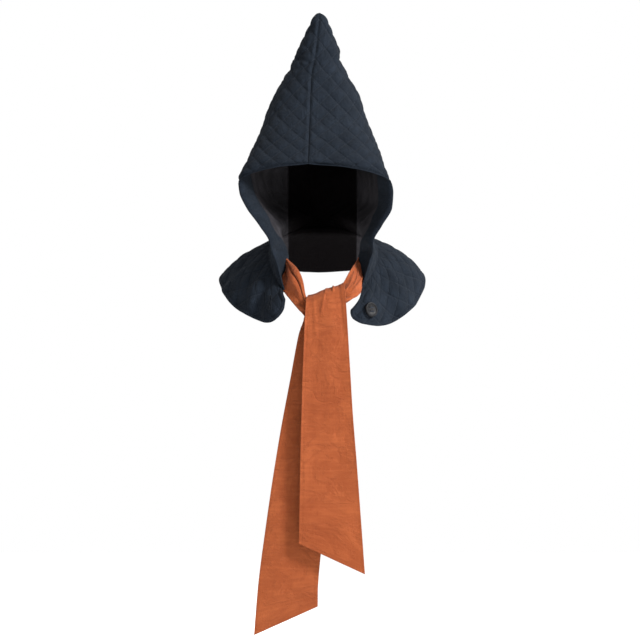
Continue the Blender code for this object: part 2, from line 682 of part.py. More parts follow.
def build_button(rows, collection, cutters):
    """Dished coat button with four thread holes, standing on its thread shank."""
    point, normal = flap_place(rows, BUTTON_REACH, BUTTON_DROP)
    seat = facing_matrix(point + normal * (LAYER_GAP + SHANK_HEIGHT), normal)
    radius, thick = BUTTON_DIAMETER / 2, BUTTON_THICKNESS
    outline = (
        (0.0, thick - BUTTON_DISH),
        (radius - BUTTON_RIM * 1.4, thick - BUTTON_DISH),
        (radius - BUTTON_RIM, thick),
        (radius - BUTTON_RIM * 0.35, thick),
        (radius, thick * 0.72),
        (radius, thick * 0.40),
        (radius * 0.82, 0.0),
        (0.0, 0.0),
    )
    shape = bmesh.new()
    line = [shape.verts.new((r, -height, 0)) for r, height in outline]
    edges = [shape.edges.new(pair) for pair in zip(line, line[1:])]
    bmesh.ops.spin(shape, geom=line + edges, cent=(0, 0, 0), axis=(0, 1, 0), angle=math.tau, steps=32, use_merge=True)
    bmesh.ops.remove_doubles(shape, verts=shape.verts, dist=1e-5)
    bmesh.ops.recalc_face_normals(shape, faces=shape.faces)
    mesh = bpy.data.meshes.new("button")
    shape.to_mesh(mesh)
    shape.free()
    button = add_object("button", mesh, "dark_horn", collection)
    button.matrix_world = seat
    half = THREAD_HOLE_SPACING / 2
    for number, (x, z) in enumerate(((-half, half), (half, half), (-half, -half), (half, -half))):
        hole = bmesh.new()
        turn = Matrix.Rotation(math.pi / 2, 4, "X")
        bmesh.ops.create_cone(
            hole,
            cap_ends=True,
            segments=10,
            radius1=THREAD_HOLE / 2,
            radius2=THREAD_HOLE / 2,
            depth=thick * 4,
            matrix=Matrix.Translation((x, 0, z)) @ turn,
        )
        mesh = bpy.data.meshes.new(f"thread_hole_cutter_{number}")
        hole.to_mesh(mesh)
        hole.free()
        cutter = bpy.data.objects.new(mesh.name, mesh)
        cutter.matrix_world = seat
        cutter.hide_render = True
        cutter.display_type = "WIRE"
        cutters.objects.link(cutter)
        cut = button.modifiers.new(mesh.name, "BOOLEAN")
        cut.operation = "DIFFERENCE"
        cut.solver = "EXACT"
        cut.object = cutter
    build_thread(seat, collection)


def build_thread(seat, collection):
    """The sewing thread: one staple through each pair of holes, both ending in the shank on the cloth."""
    half = THREAD_HOLE_SPACING / 2
    top = BUTTON_THICKNESS - BUTTON_DISH + THREAD_DIAMETER * 0.55 + LAYER_GAP
    for name, z in (("button_thread_upper", half), ("button_thread_lower", -half)):
        curve = bpy.data.curves.new(name, "CURVE")
        curve.dimensions = "3D"
        curve.bevel_depth = THREAD_DIAMETER / 2
        curve.bevel_resolution = 2
        curve.use_fill_caps = True
        spline = curve.splines.new("POLY")
        points = staple_points(half, top, SHANK_HEIGHT)
        spline.points.add(len(points) - 1)
        for place, (x, depth) in zip(spline.points, points):
            place.co = (x, -depth, z, 1.0)
        curve.materials.append(material("navy_thread"))
        made = bpy.data.objects.new(name, curve)
        made.matrix_world = seat
        collection.objects.link(made)


def staple_points(half, top, foot):
    """Staple from below the button, over it and down again, with rounded shoulders."""
    round_off = THREAD_DIAMETER * 0.5
    left = [(-half, -foot), (-half, top - round_off), (-half + round_off, top)]
    return left + [(-x, depth) for x, depth in reversed(left)]


def main():
    for thing in list(bpy.data.objects):
        bpy.data.objects.remove(thing)
    scene = bpy.context.scene.collection
    parts = bpy.data.collections.new("wizard_hood")
    cutters = bpy.data.collections.new("cutters")
    scene.children.link(parts)
    scene.children.link(cutters)
    grid, normals = hood_grid()
    build_hood(grid, normals, parts)
    rows, row_normals = collar_grid(grid, normals)
    build_collar(rows, row_normals, parts, cutters)
    build_ties(parts)
    build_button(rows, parts, cutters)


main()
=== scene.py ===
"""The finished look of a pointed quilted hood with a cape collar and knotted cotton ties.

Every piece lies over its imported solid, in metres, with the face opening towards -Y.
"""

import math
from bisect import bisect_right
from collections import namedtuple
from functools import lru_cache

import bmesh
import bpy
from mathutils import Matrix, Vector, kdtree, noise
from mathutils.bvhtree import BVHTree


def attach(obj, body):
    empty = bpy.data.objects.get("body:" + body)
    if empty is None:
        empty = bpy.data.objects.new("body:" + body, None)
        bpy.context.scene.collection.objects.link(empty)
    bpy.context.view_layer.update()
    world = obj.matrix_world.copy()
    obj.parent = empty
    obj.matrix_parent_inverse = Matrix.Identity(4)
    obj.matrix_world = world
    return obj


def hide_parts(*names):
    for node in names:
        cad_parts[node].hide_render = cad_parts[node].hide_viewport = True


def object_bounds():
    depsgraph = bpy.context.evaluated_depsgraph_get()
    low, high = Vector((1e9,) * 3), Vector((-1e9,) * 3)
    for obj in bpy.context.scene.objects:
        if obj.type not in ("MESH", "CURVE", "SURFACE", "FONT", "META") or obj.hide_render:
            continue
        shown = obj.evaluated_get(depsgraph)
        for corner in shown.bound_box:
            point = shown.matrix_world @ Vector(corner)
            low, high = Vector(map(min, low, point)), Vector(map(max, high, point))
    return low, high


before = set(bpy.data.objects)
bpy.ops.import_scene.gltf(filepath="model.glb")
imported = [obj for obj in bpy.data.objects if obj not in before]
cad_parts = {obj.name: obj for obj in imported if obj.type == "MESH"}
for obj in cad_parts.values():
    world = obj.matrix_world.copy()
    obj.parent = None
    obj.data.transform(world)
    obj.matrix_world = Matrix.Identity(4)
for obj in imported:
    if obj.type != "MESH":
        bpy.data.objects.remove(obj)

bl_info = {
    "name": "Pointed quilted hood",
    "version": (1, 0, 0),
    "blender": (4, 5, 0),
    "location": "View3D > Sidebar > Hood",
    "description": "Quilted hood panels, collar, linings, knotted ties and button, with their stage",
    "category": "Add Mesh",
}

CAD_LOW, CAD_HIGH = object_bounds()

# The cut of the hood, as in the solids
HOOD_HEIGHT = 0.417
THROAT = -0.2385
HALF_WIDTH = 0.120
FRONT_REACH = 0.110
BACK_REACH = 0.120
FLARE_DEPTH = 0.050
COLLAR_REACH = 0.150
COLLAR_DROP = 0.053
COLLAR_BACK = 0.152
COLLAR_CROWN = 0.006
NECK_EASE = 1.8
FRONT_POWER_TIP, FRONT_POWER_BROW = 2.0, 2.8
BACK_POWER = 1.85
LEFT, RIGHT = -1, 1


def rows_of(kind, *rows):
    """Table whose rows have named columns."""
    return tuple(kind(*row) for row in rows)


# Heights are shares of HOOD_HEIGHT above the throat end, at a section's front and back ends; left,
# right, seam and flare are shares of HALF_WIDTH; front, wide and back are places along Y, shares of
# FRONT_REACH if negative and of BACK_REACH if positive; open is the front quarter's missing share
Section = namedtuple(
    "Section", "height back_height left right seam front wide back open flare", defaults=(0.0, 0.0)
)
SECTIONS = rows_of(
    Section,
    (0.000, 0.213, 0.636, 0.745, 0.000, -0.98, -0.05, 0.71, 0.50, 0.00),
    (0.101, 0.238, 0.595, 0.705, 0.000, -0.96, -0.36, 0.80, 0.72, 0.04),
    (0.169, 0.262, 0.615, 0.675, -0.01, -0.96, -0.72, 0.87, 1.00, 0.07),
    (0.230, 0.290, 0.738, 0.780, -0.03, -0.97, -0.77, 0.93, 1.00, 0.10),
    (0.295, 0.328, 0.900, 0.906, -0.06, -0.98, -0.79, 0.97, 1.00, 0.13),
    (0.349, 0.367, 0.985, 0.920, -0.09, -0.99, -0.79, 0.99, 1.00, 0.14),
    (0.388, 0.400, 1.000, 0.895, -0.12, -1.00, -0.78, 1.00, 1.00, 0.12),
    (0.4135, 0.423, 0.990, 0.860, -0.130, -1.00, -0.75, 1.00, 0.70, 0.09),
    (0.4317, 0.439, 0.955, 0.830, -0.134, -1.00, -0.70, 1.00, 0.45, 0.06),
    (0.446, 0.451, 0.920, 0.810, -0.136, -1.00, -0.65, 1.00, 0.22, 0.03),
    (0.457, 0.461, 0.900, 0.800, -0.137, -1.00, -0.60, 1.00),
    (0.5036, 0.5036, 0.835, 0.745, -0.131, -0.87, -0.40, 0.975),
    (0.5755, 0.5755, 0.725, 0.656, -0.122, -0.65, -0.12, 0.920),
    (0.640, 0.640, 0.650, 0.575, -0.114, -0.46, 0.06, 0.850),
    (0.705, 0.705, 0.562, 0.506, -0.106, -0.29, 0.18, 0.780),
    (0.748, 0.748, 0.475, 0.425, -0.100, -0.185, 0.24, 0.730),
    (0.7806, 0.7806, 0.412, 0.362, -0.092, -0.115, 0.27, 0.690),
    (0.7986, 0.7986, 0.352, 0.335, -0.082, -0.070, 0.285, 0.655),
    (0.813, 0.813, 0.352, 0.300, -0.070, -0.040, 0.29, 0.645),
    (0.8345, 0.8345, 0.325, 0.272, -0.055, 0.000, 0.30, 0.625),
    (0.8669, 0.8669, 0.275, 0.256, -0.038, 0.050, 0.315, 0.590),
    (0.910, 0.910, 0.200, 0.200, -0.022, 0.125, 0.325, 0.530),
    (0.953, 0.953, 0.125, 0.144, -0.008, 0.200, 0.335, 0.470),
    (0.9856, 0.9856, 0.075, 0.092, 0.004, 0.262, 0.335, 0.410),
    (0.9970, 0.9970, 0.044, 0.054, 0.004, 0.290, 0.335, 0.380),
    (1.0036, 1.0036, 0.000, 0.000, 0.004, 0.335, 0.335, 0.335),
)
BROW_ROW = 10  # the first section that closes in front
LINING_ROWS = 22

# The collar's hem by its share of the way along the neck seam from the throat to the back seam
Hem = namedtuple("Hem", "along reach drop depth fold", defaults=(0.0,))
LEFT_HEM = rows_of(
    Hem,
    (0.00, 0.335, 0.28, -0.600),
    (0.03, 0.345, 0.49, -0.640),
    (0.06, 0.380, 0.68, -0.655),
    (0.09, 0.440, 0.87, -0.640, 0.2),
    (0.12, 0.520, 0.94, -0.595, 0.3),
    (0.18, 0.625, 0.83, -0.505, -0.5),
    (0.24, 0.735, 0.70, -0.400, 0.5),
    (0.30, 0.850, 0.48, -0.280, -0.2),
    (0.38, 0.945, 0.16, -0.120, 0.3),
    (0.46, 0.990, -0.12, 0.070),
    (0.54, 1.000, -0.36, 0.270, 0.3),
    (0.66, 0.900, -0.60, 0.560, -0.3),
    (0.78, 0.660, -0.68, 0.800, 0.4),
    (0.90, 0.320, -0.60, 0.960, -0.2),
    (1.00, 0.000, -0.53, 1.000),
)
RIGHT_HEM = rows_of(
    Hem,
    (0.00, 0.314, 0.56, -0.632),
    (0.03, 0.311, 0.65, -0.638),
    (0.06, 0.322, 0.75, -0.640),
    (0.09, 0.358, 0.86, -0.636),
    (0.12, 0.430, 0.96, -0.620, 0.2),
    (0.18, 0.590, 1.02, -0.526),
    (0.24, 0.735, 0.92, -0.410, -0.5),
    (0.30, 0.880, 0.66, -0.280, 0.8),
    (0.38, 0.985, 0.34, -0.120, 0.2),
    (0.46, 1.040, -0.02, 0.070, 1.0),
    (0.54, 1.040, -0.34, 0.270, 1.2),
    (0.66, 0.930, -0.60, 0.560, 0.3),
    (0.78, 0.670, -0.68, 0.800, 0.4),
    (0.90, 0.320, -0.60, 0.960, -0.2),
    (1.00, 0.000, -0.53, 1.000),
)

# The ties' two edges from the sewn end: x is a share of HALF_WIDTH, y of FRONT_REACH, z a share of
# HOOD_HEIGHT below the throat end; bow and ruck are shares of the tie's width, ruck the height of
# the gathers in the strip and folds how many there are
Edges = namedtuple("Edges", "ax ay az bx by bz bow ruck folds")
LEFT_TIE = rows_of(
    Edges,
    (-0.450, -0.230, -0.1295, -0.488, -0.300, -0.0647, 0.00, 0.030, 3.0),
    (-0.3875, -0.400, -0.1097, -0.469, -0.470, -0.036, 0.00, 0.022, 2.0),
    (-0.2625, -0.660, -0.0737, -0.450, -0.660, 0.000, 0.03, 0.016, 1.2),
    (-0.200, -0.740, -0.0324, -0.350, -0.750, 0.0378, 0.05, 0.018, 1.2),
    (-0.1625, -0.770, 0.0252, -0.269, -0.790, 0.0647, 0.04, 0.022, 1.4),
    (-0.060, -0.780, 0.052, -0.190, -0.790, 0.0900, 0.00, 0.030, 2.0),
    (0.075, -0.790, 0.070, -0.188, -0.790, 0.1030, 0.00, 0.034, 2.5),
    (0.110, -0.800, 0.098, -0.200, -0.800, 0.1190, 0.00, 0.024, 2.5),
)
RIGHT_TIE = rows_of(
    Edges,
    (0.525, -0.230, -0.1295, 0.569, -0.300, -0.0647, 0.00, 0.030, 3.0),
    (0.4875, -0.400, -0.1097, 0.5475, -0.470, -0.036, 0.00, 0.022, 2.0),
    (0.381, -0.660, -0.0647, 0.541, -0.680, -0.0036, -0.04, 0.016, 1.3),
    (0.306, -0.780, -0.027, 0.481, -0.800, 0.0216, -0.05, 0.022, 1.5),
    (0.215, -0.860, 0.004, 0.350, -0.870, 0.0440, -0.02, 0.034, 2.0),
    (0.100, -0.890, 0.030, 0.180, -0.895, 0.070, 0.00, 0.060, 2.5),
    (-0.020, -0.900, 0.054, 0.010, -0.905, 0.090, 0.00, 0.060, 2.5),
    (-0.100, -0.880, 0.070, -0.100, -0.880, 0.100, 0.00, 0.050, 2.5),
    (-0.135, -0.795, 0.078, -0.135, -0.795, 0.105, 0.00, 0.050, 2.5),
    (-0.100, -0.700, 0.072, -0.100, -0.700, 0.102, 0.00, 0.055, 2.5),
    (-0.040, -0.685, 0.058, 0.020, -0.685, 0.092, 0.00, 0.055, 2.5),
    (-0.070, -0.680, 0.040, 0.110, -0.680, 0.066, 0.00, 0.045, 2.5),
    (-0.105, -0.690, 0.022, 0.210, -0.690, 0.024, 0.00, 0.012, 2.0),
    (-0.130, -0.750, 0.022, 0.270, -0.750, -0.014, 0.00, 0.006, 1.5),
    (-0.142, -0.840, 0.026, 0.300, -0.850, -0.024, 0.00, 0.006, 1.5),
    (-0.156, -0.925, 0.036, 0.315, -0.940, -0.012, 0.00, 0.006, 1.5),
    (-0.166, -0.965, 0.062, 0.330, -0.975, 0.024, 0.00, 0.008, 1.5),
)
# Sharp creases in each tie: shares across the strip and metres along it, from start to end
Crease = namedtuple("Crease", "across0 along0 across1 along1 depth width")
LEFT_CREASES = rows_of(
    Crease,
    (0.12, 0.022, 0.26, 0.050, 0.0026, 0.0034),
    (0.26, 0.050, 0.22, 0.098, 0.0040, 0.0036),
    (0.62, 0.030, 0.52, 0.070, 0.0010, 0.0030),
    (0.30, 0.155, 0.44, 0.230, 0.0014, 0.0030),
    (0.62, 0.150, 0.70, 0.260, -0.0012, 0.0040),
)
RIGHT_CREASES = rows_of(
    Crease,
    (0.36, 0.030, 0.50, 0.066, 0.0018, 0.0026),
    (0.66, 0.040, 0.62, 0.074, 0.0017, 0.0026),
    (0.20, 0.046, 0.36, 0.082, 0.0015, 0.0026),
    (0.72, 0.224, 0.70, 0.236, 0.0022, 0.0022),
    (0.55, 0.222, 0.40, 0.262, 0.0010, 0.0030),
    (0.86, 0.226, 0.90, 0.300, -0.0012, 0.0050),
    (0.20, 0.236, 0.26, 0.300, 0.0008, 0.0040),
)

# The hanging tails: fall is the share of the tail's length below the knot, left and right are the
# edges as shares of the tie's width from the centre plane, and depth is a share of FRONT_REACH
Tail = namedtuple("Tail", "fall left right depth bow ruck")
BACK_TAIL_ROWS = rows_of(
    Tail,
    (0.06, -0.330, 0.290, -0.81, 0.00, 0.016),
    (0.20, -0.460, 0.300, -0.82, 0.02, 0.010),
    (0.36, -0.610, 0.235, -0.83, 0.03, 0.006),
    (0.52, -0.740, 0.150, -0.835, 0.03, 0.004),
    (0.68, -0.855, 0.065, -0.84, 0.02, 0.003),
    (0.84, -0.960, -0.010, -0.84, 0.02, 0.003),
)
FRONT_TAIL_ROWS = rows_of(
    Tail,
    (0.155, -0.230, 0.455, -0.98, 0.00, 0.008),
    (0.30, -0.258, 0.495, -0.985, 0.01, 0.006),
    (0.46, -0.280, 0.540, -0.99, 0.02, 0.004),
    (0.62, -0.298, 0.600, -0.99, 0.02, 0.003),
    (0.78, -0.310, 0.655, -0.985, 0.02, 0.003),
)
Cut = namedtuple("Cut", "left_fall left right_fall right")
Tie = namedtuple("Tie", "rows tail_rows cut length top left_first creases")
BACK_TAIL_CUT = Cut(1.0125, -1.034, 0.921, -0.019)
FRONT_TAIL_CUT = Cut(0.895, -0.320, 1.000, 0.730)
BACK_TAIL, FRONT_TAIL = 0.468, 0.435
KNOT_DROP = 0.042
TAIL_FOLDS = 1.5

# The stitched details
BUTTONHOLE_X, BUTTONHOLE_Z, BUTTONHOLE_LENGTH = -0.0735, -0.2570, 0.0235
BUTTONHOLE_WIDTH = 0.0017
BUTTONHOLE_DOWN = Vector((0.003, 0, -0.023))  # the way it runs
SEAM_TOPSTITCH = 0.012  # beside the centre seam
SEAM_STITCH_PITCH = 0.0042
TOPSTITCH_END = 21.5  # a row number, near the tip
QUILT_DRIFT = 0.05  # how far the quilting lines stray, as a share of a diamond

# The linings and the facing, with their depths below the hood's smooth outside
CENTRE_X, CENTRE_Y = 0.005, -0.005  # the neck's axis
LINING_DEPTH = 0.0033
LINING_WALL = 0.001
COLLAR_LINING_DEPTH = 0.0036
NECK_DRAPE = 0.0220  # how far both hang inwards
FACING_WIDTH = 0.0365
FACING_LIP = 0.0022  # past the face edge
FACING_DEPTH = 0.0052
FACING_TURN = 0.005  # where it reaches that depth

# Relief beside an edge, as smooth hills of a height at a distance from it
Hill = namedtuple("Hill", "height distance width")
NECK_SEAM = rows_of(Hill, (-0.0008, 0.0, 0.0020))
CENTRE_SEAM = rows_of(Hill, (-0.0014, 0.0, 0.0022))
SEAM_RIDGE = {
    LEFT: rows_of(Hill, (0.0008, 0.0045, 0.0028)),
    RIGHT: rows_of(Hill, (0.0003, 0.0045, 0.0028)),
}
FACE_ROLL = rows_of(Hill, (-0.0016, 0.0, 0.0022), (0.0003, 0.0040, 0.0030), (-0.0004, 0.0095, 0.0014))
COLLAR_RIM = rows_of(Hill, (-0.0010, 0.0062, 0.0013), (0.0006, 0.0030, 0.0020))
TIE_HEM = rows_of(Hill, (0.0003, 0.0040, 0.0020))

# Soft wrinkles: height, stretch across and along the cloth, size of a bump and its seed
Wrinkle = namedtuple("Wrinkle", "height across along size seed")
TIE_WRINKLES = rows_of(
    Wrinkle,
    (0.0009, 1.0, 1.0, 0.035, 1.0),
    (0.0020, 0.4, 1.0, 0.090, 9.0),
    (0.0004, 0.6, 1.0, 0.011, 14.0),
    (0.0010, 1.0, 0.15, 0.020, 18.0),
)

# Creases where the hood's point bends: height, slope to the sides, depth
POINT_CREASES = ((0.1010, 0.25, 0.0020), (0.0895, -0.18, 0.0012), (0.1130, 0.10, 0.0008))

# Studio lamps: place, size and power
LAMPS = {
    "key": ((2.3, -1.5, 1.3), 0.7, 285),
    "fill": ((-2.0, -2.4, 0.6), 1.8, 4),
    "top": ((0.2, 0.9, 2.2), 1.4, 30),
}
LAMP_TARGET = Vector((0, 0, -0.15))
CAMERA_X, CAMERA_Y, CAMERA_Z = 0.0015, -0.04, -0.2835
SENSOR_WIDTH = 36.0
FLOOR_RADIUS = 6.0

# Mesh counts of each piece, and samples along its curves
PANEL_GRID = (190, 240)
LINING_GRID = (150, 110)
FACING_GRID = (210, 22)
COLLAR_GRID = (380, 62)
COLLAR_LINING_GRID = (190, 31)
TIE_GRID = (92, 380)
SEARCH_GRID = (80, 120)
LEAD_SAMPLES = 20
ROW_SAMPLES = 100
HEIGHT_SAMPLES = 500
EDGE_SAMPLES = 200
HEM_SAMPLES = 300
RIM_SAMPLES = 400
STRIP_SAMPLES = 400
SEAM_SAMPLES = 700


# Smooth tables and surfaces


class Curve:
    """Monotone cubic through the rows of a table, read at a row number with a fraction."""

    def __init__(self, table):
        self.kind = type(table[0])
        self.columns = list(zip(*table))
        self.last = len(table) - 1
        self.tangents = [self.tangents_of(column) for column in self.columns]

    def tangents_of(self, column):
        """Slope at each row, flat where a column turns back."""
        steps = [b - a for a, b in zip(column, column[1:])]
        inner = [2 * a * b / (a + b) if a * b > 0 else 0.0 for a, b in zip(steps, steps[1:])]
        return [steps[0], *inner, steps[-1]]

    def at(self, key):
        """Row at a row number with a fraction."""
        i = min(int(max(key, 0.0)), self.last - 1)
        t = min(max(key - i, 0.0), 1.0)
        values = []
        for column, slope in zip(self.columns, self.tangents):
            rise, start, end = column[i + 1] - column[i], slope[i], slope[i + 1]
            bend, twist = 3 * rise - 2 * start - end, start + end - 2 * rise
            values.append(column[i] + t * start + t * t * bend + t**3 * twist)
        return self.kind(*values)


def rounded_at(table, key):
    """Catmull-Rom through the rows of a table, for outlines that round their corners."""
    i = min(int(max(key, 0.0)), len(table) - 2)
    t = key - i
    a, b = table[i], table[i + 1]
    before = table[i - 1] if i else [2 * p - q for p, q in zip(a, b)]
    after = table[i + 2] if i + 2 < len(table) else [2 * q - p for p, q in zip(a, b)]
    values = [
        0.5 * (2 * q + (r - p) * t + (2 * p - 5 * q + 4 * r - s) * t * t + (3 * q - p - 3 * r + s) * t**3)
        for p, q, r, s in zip(before, a, b, after)
    ]
    return type(a)(*values)


SECTION_CURVE = Curve(SECTIONS)


def along_y(share):
    """Place along Y from its share of the front or back reach."""
    return share * (FRONT_REACH if share < 0 else BACK_REACH)


def hood_point(section, turn, side):
    """Point on the hood's outside: turn is 0 at the front seam, 1 at the widest line, 2 at the back seam."""
    seam = section.seam * HALF_WIDTH
    wide = side * (section.left if side == LEFT else section.right) * HALF_WIDTH
    flare = side * section.flare * HALF_WIDTH
    front, middle, back = (along_y(v) for v in (section.front, section.wide, section.back))
    brow = SECTIONS[BROW_ROW].height
    blend = min(max(section.height / brow, 0.0), 1.0)
    if section.height > brow:
        blend = max(1.0 - (section.height - brow) / (1.0 - brow), 0.0)
    power = FRONT_POWER_TIP + (FRONT_POWER_BROW - FRONT_POWER_TIP) * blend
    if turn <= 1:
        angle = turn * math.pi / 2
        x = seam + (wide - seam) * math.sin(angle) ** (2 / power)
        y = middle + (front - middle) * max(math.cos(angle), 0.0) ** (2 / power)
    else:
        angle = min(turn - 1, 1.0) * math.pi / 2
        x = seam + (wide - flare - seam) * max(math.cos(angle), 0.0) ** (2 / BACK_POWER)
        y = middle + (back - middle) * math.sin(angle) ** (2 / BACK_POWER)
        x += flare * max(0.0, 1 - (y - middle) / FLARE_DEPTH) ** 2
    opening = max(math.cos(min(section.open, 1.0) * math.pi / 2), 0.0)
    start = middle + (front - middle) * opening ** (2 / power)
    share = min(max((y - start) / max(back - start, 1e-6), 0.0), 1.0)
    rise = (section.back_height - section.height) * (1 - (1 - share) ** NECK_EASE)
    return Vector((x, y, THROAT + (section.height + rise) * HOOD_HEIGHT))


@lru_cache(maxsize=4096)
def hood_row(key, side):
    """Points of one section from its front end to the back seam, their distances along it, and the
    distance from the front seam to the front end."""
    section = SECTION_CURVE.at(key)
    opened = min(max(section.open, 0.0), 1.0)
    lead = [hood_point(section, opened * n / LEAD_SAMPLES, side) for n in range(LEAD_SAMPLES + 1)]
    turns = [opened + (2 - opened) * n / ROW_SAMPLES for n in range(ROW_SAMPLES + 1)]
    fine = [hood_point(section, turn, side) for turn in turns]
    return fine, cumulative(fine), cumulative(lead)[-1]


def hood_at(key, share, side):
    """Point at a share of a section's length, with its distances from the front seam and from both ends."""
    fine, lengths, before = hood_row(key, side)
    wanted = share * lengths[-1]
    low = interval(lengths, wanted)
    step = lengths[low + 1] - lengths[low]
    point = fine[low].lerp(fine[low + 1], (wanted - lengths[low]) / step if step > 1e-9 else 0.0)
    return point, before + wanted, (wanted, lengths[-1] - wanted)


def neck_drape(point, from_edge):
    """Facing and lining hang inwards behind the cheeks, most where the neck begins."""
    side = LEFT if point.x < 0 else RIGHT
    rise = smooth_step(point.z, -0.150, -0.190) * smooth_step(point.z, THROAT, -0.2050)
    reach = smooth_step(from_edge, 0.002, 0.037) * smooth_step(from_edge, 0.140, 0.050)
    return point - Vector((side * NECK_DRAPE * rise * reach, 0, 0))


def smooth_step(value, start, end):
    """0 at start and 1 at end, with a smooth step between; start may be the larger."""
    share = min(max((value - start) / (end - start), 0.0), 1.0)
    return share * share * (3 - 2 * share)


def cumulative(points):
    """Distance from the first point to each one, along them all."""
    total = [0.0]
    for a, b in zip(points, points[1:]):
        total.append(total[-1] + (b - a).length)
    return total


def interval(sums, wanted):
    """Index of the step of a rising list that a value falls in."""
    return min(max(bisect_right(sums, wanted) - 1, 0), len(sums) - 2)


def read_off(sums, wanted):
    """Position in a rising list, as an index with a fraction."""
    low = interval(sums, wanted)
    step = sums[low + 1] - sums[low]
    return low + (min(max((wanted - sums[low]) / step, 0.0), 1.0) if step > 1e-12 else 0.0)


KEYS = [n * (len(SECTIONS) - 1) / HEIGHT_SAMPLES for n in range(HEIGHT_SAMPLES + 1)]
SIDE_LINE = cumulative([hood_point(SECTION_CURVE.at(key), 1.0, LEFT) for key in KEYS])
EDGE_STEPS = [hood_row(key, LEFT)[0][0] for key in KEYS]
SPREAD = [0.0]
for n, (lower, upper) in enumerate(zip(EDGE_STEPS, EDGE_STEPS[1:])):
    SPREAD.append(SPREAD[-1] + max((upper - lower).length, SIDE_LINE[n + 1] - SIDE_LINE[n]))


def spread_key(share, top):
    """Row number at a share of the way up, rows spread by how far the front edge or the side moves."""
    end = SPREAD[round(top / KEYS[-1] * HEIGHT_SAMPLES)]
    return read_off(SPREAD, share * end) * KEYS[-1] / HEIGHT_SAMPLES


def height_on_cloth(key):
    """Distance up the side of the hood, on the cloth."""
    place = key / KEYS[-1] * HEIGHT_SAMPLES
    i = min(int(place), HEIGHT_SAMPLES - 1)
    return SIDE_LINE[i] + (SIDE_LINE[i + 1] - SIDE_LINE[i]) * (place - i)


# Mesh helpers


def placed_grid(columns, rows, place, flip=False):
    """Grid whose points go where place(across, up) puts them, with each vertex's place on the cloth."""
    shape = bmesh.new()
    bmesh.ops.create_grid(shape, x_segments=columns, y_segments=rows, size=0.5)
    cloth = {}
    for vertex in shape.verts:
        across, up = vertex.co.x + 0.5, vertex.co.y + 0.5
        vertex.co, cloth[vertex] = place(across, up)
    if flip:
        bmesh.ops.reverse_faces(shape, faces=shape.faces)
    shape.normal_update()
    return shape, cloth


def finish_mesh(name, shape, cloth, finish, merge=0.0):
    """Object from a bmesh, with its cloth positions kept as a UV map in metres."""
    if cloth:
        layer = shape.loops.layers.uv.new("cloth")
        for face in shape.faces:
            for loop in face.loops:
                loop[layer].uv = cloth[loop.vert]
    if merge:
        bmesh.ops.remove_doubles(shape, verts=shape.verts, dist=merge)
        bmesh.ops.dissolve_degenerate(shape, dist=1e-7, edges=shape.edges)
    mesh = bpy.data.meshes.new(name)
    shape.to_mesh(mesh)
    shape.free()
    mesh.shade_smooth()
    mesh.materials.append(finish)
    made = bpy.data.objects.new(name, mesh)
    bpy.context.scene.collection.objects.link(made)
    return made


def thicken(piece, thickness, rounding=0.0, offset=-1.0):
    """Wall of cloth under the piece's outside, with its rims rounded if asked."""
    wall = piece.modifiers.new("wall", "SOLIDIFY")
    wall.thickness = thickness
    wall.offset = offset
    wall.use_even_offset = False
    if rounding:
        round_edges(piece, rounding, 65)


def round_edges(piece, width, degrees):
    """Edges sharper than an angle, rounded when the piece is drawn."""
    soften = piece.modifiers.new("rounded edges", "BEVEL")
    soften.width = width
    soften.segments = 2
    soften.limit_method = "ANGLE"
    soften.angle_limit = math.radians(degrees)
    return soften


def seat(piece, slot, *nodes):
    """Piece rides with the object and stands for its solids; slot is not used."""
    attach(piece, "root")
    if nodes:
        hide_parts(*nodes)


def bump(distance, width):
    """Smooth hill of unit height that fades out at about twice its width."""
    return math.exp(-((distance / width) ** 2))


def relief(distance, hills):
    """Height of the rolls and stitch lines beside an edge, at a distance from it."""
    return sum(hill.height * bump(distance - hill.distance, hill.width) for hill in hills)


def near_tree(points):
    """Search tree of points."""
    tree = kdtree.KDTree(len(points))
    for n, point in enumerate(points):
        tree.insert(point, n)
    tree.balance()
    return tree


def wobble(s, t, size, seed):
    """Smooth noise on the cloth with bumps of a size in metres."""
    return noise.noise(Vector((s / size, t / size, seed)))


def quilted(s, t, style):
    """Height of the quilting at a place on the cloth: diamonds puffed up between their stitched lines."""
    across, up = s / style.diamond_width, t / style.diamond_height
    p = across + up + QUILT_DRIFT * wobble(s, t, 0.03, 3.0)
    q = across - up + QUILT_DRIFT * wobble(s, t, 0.03, 8.0)
    puff = (abs(math.sin(math.pi * p)) * abs(math.sin(math.pi * q))) ** 0.5
    pucker = wobble(s + t * 0.5, t * 0.4, 0.0075, 1.7) * (1.15 - puff) + 0.5 * wobble(s, t, 0.017, 4.4)
    return style.puff_height * (puff - 0.45 + 0.55 * pucker)


# Shader expressions


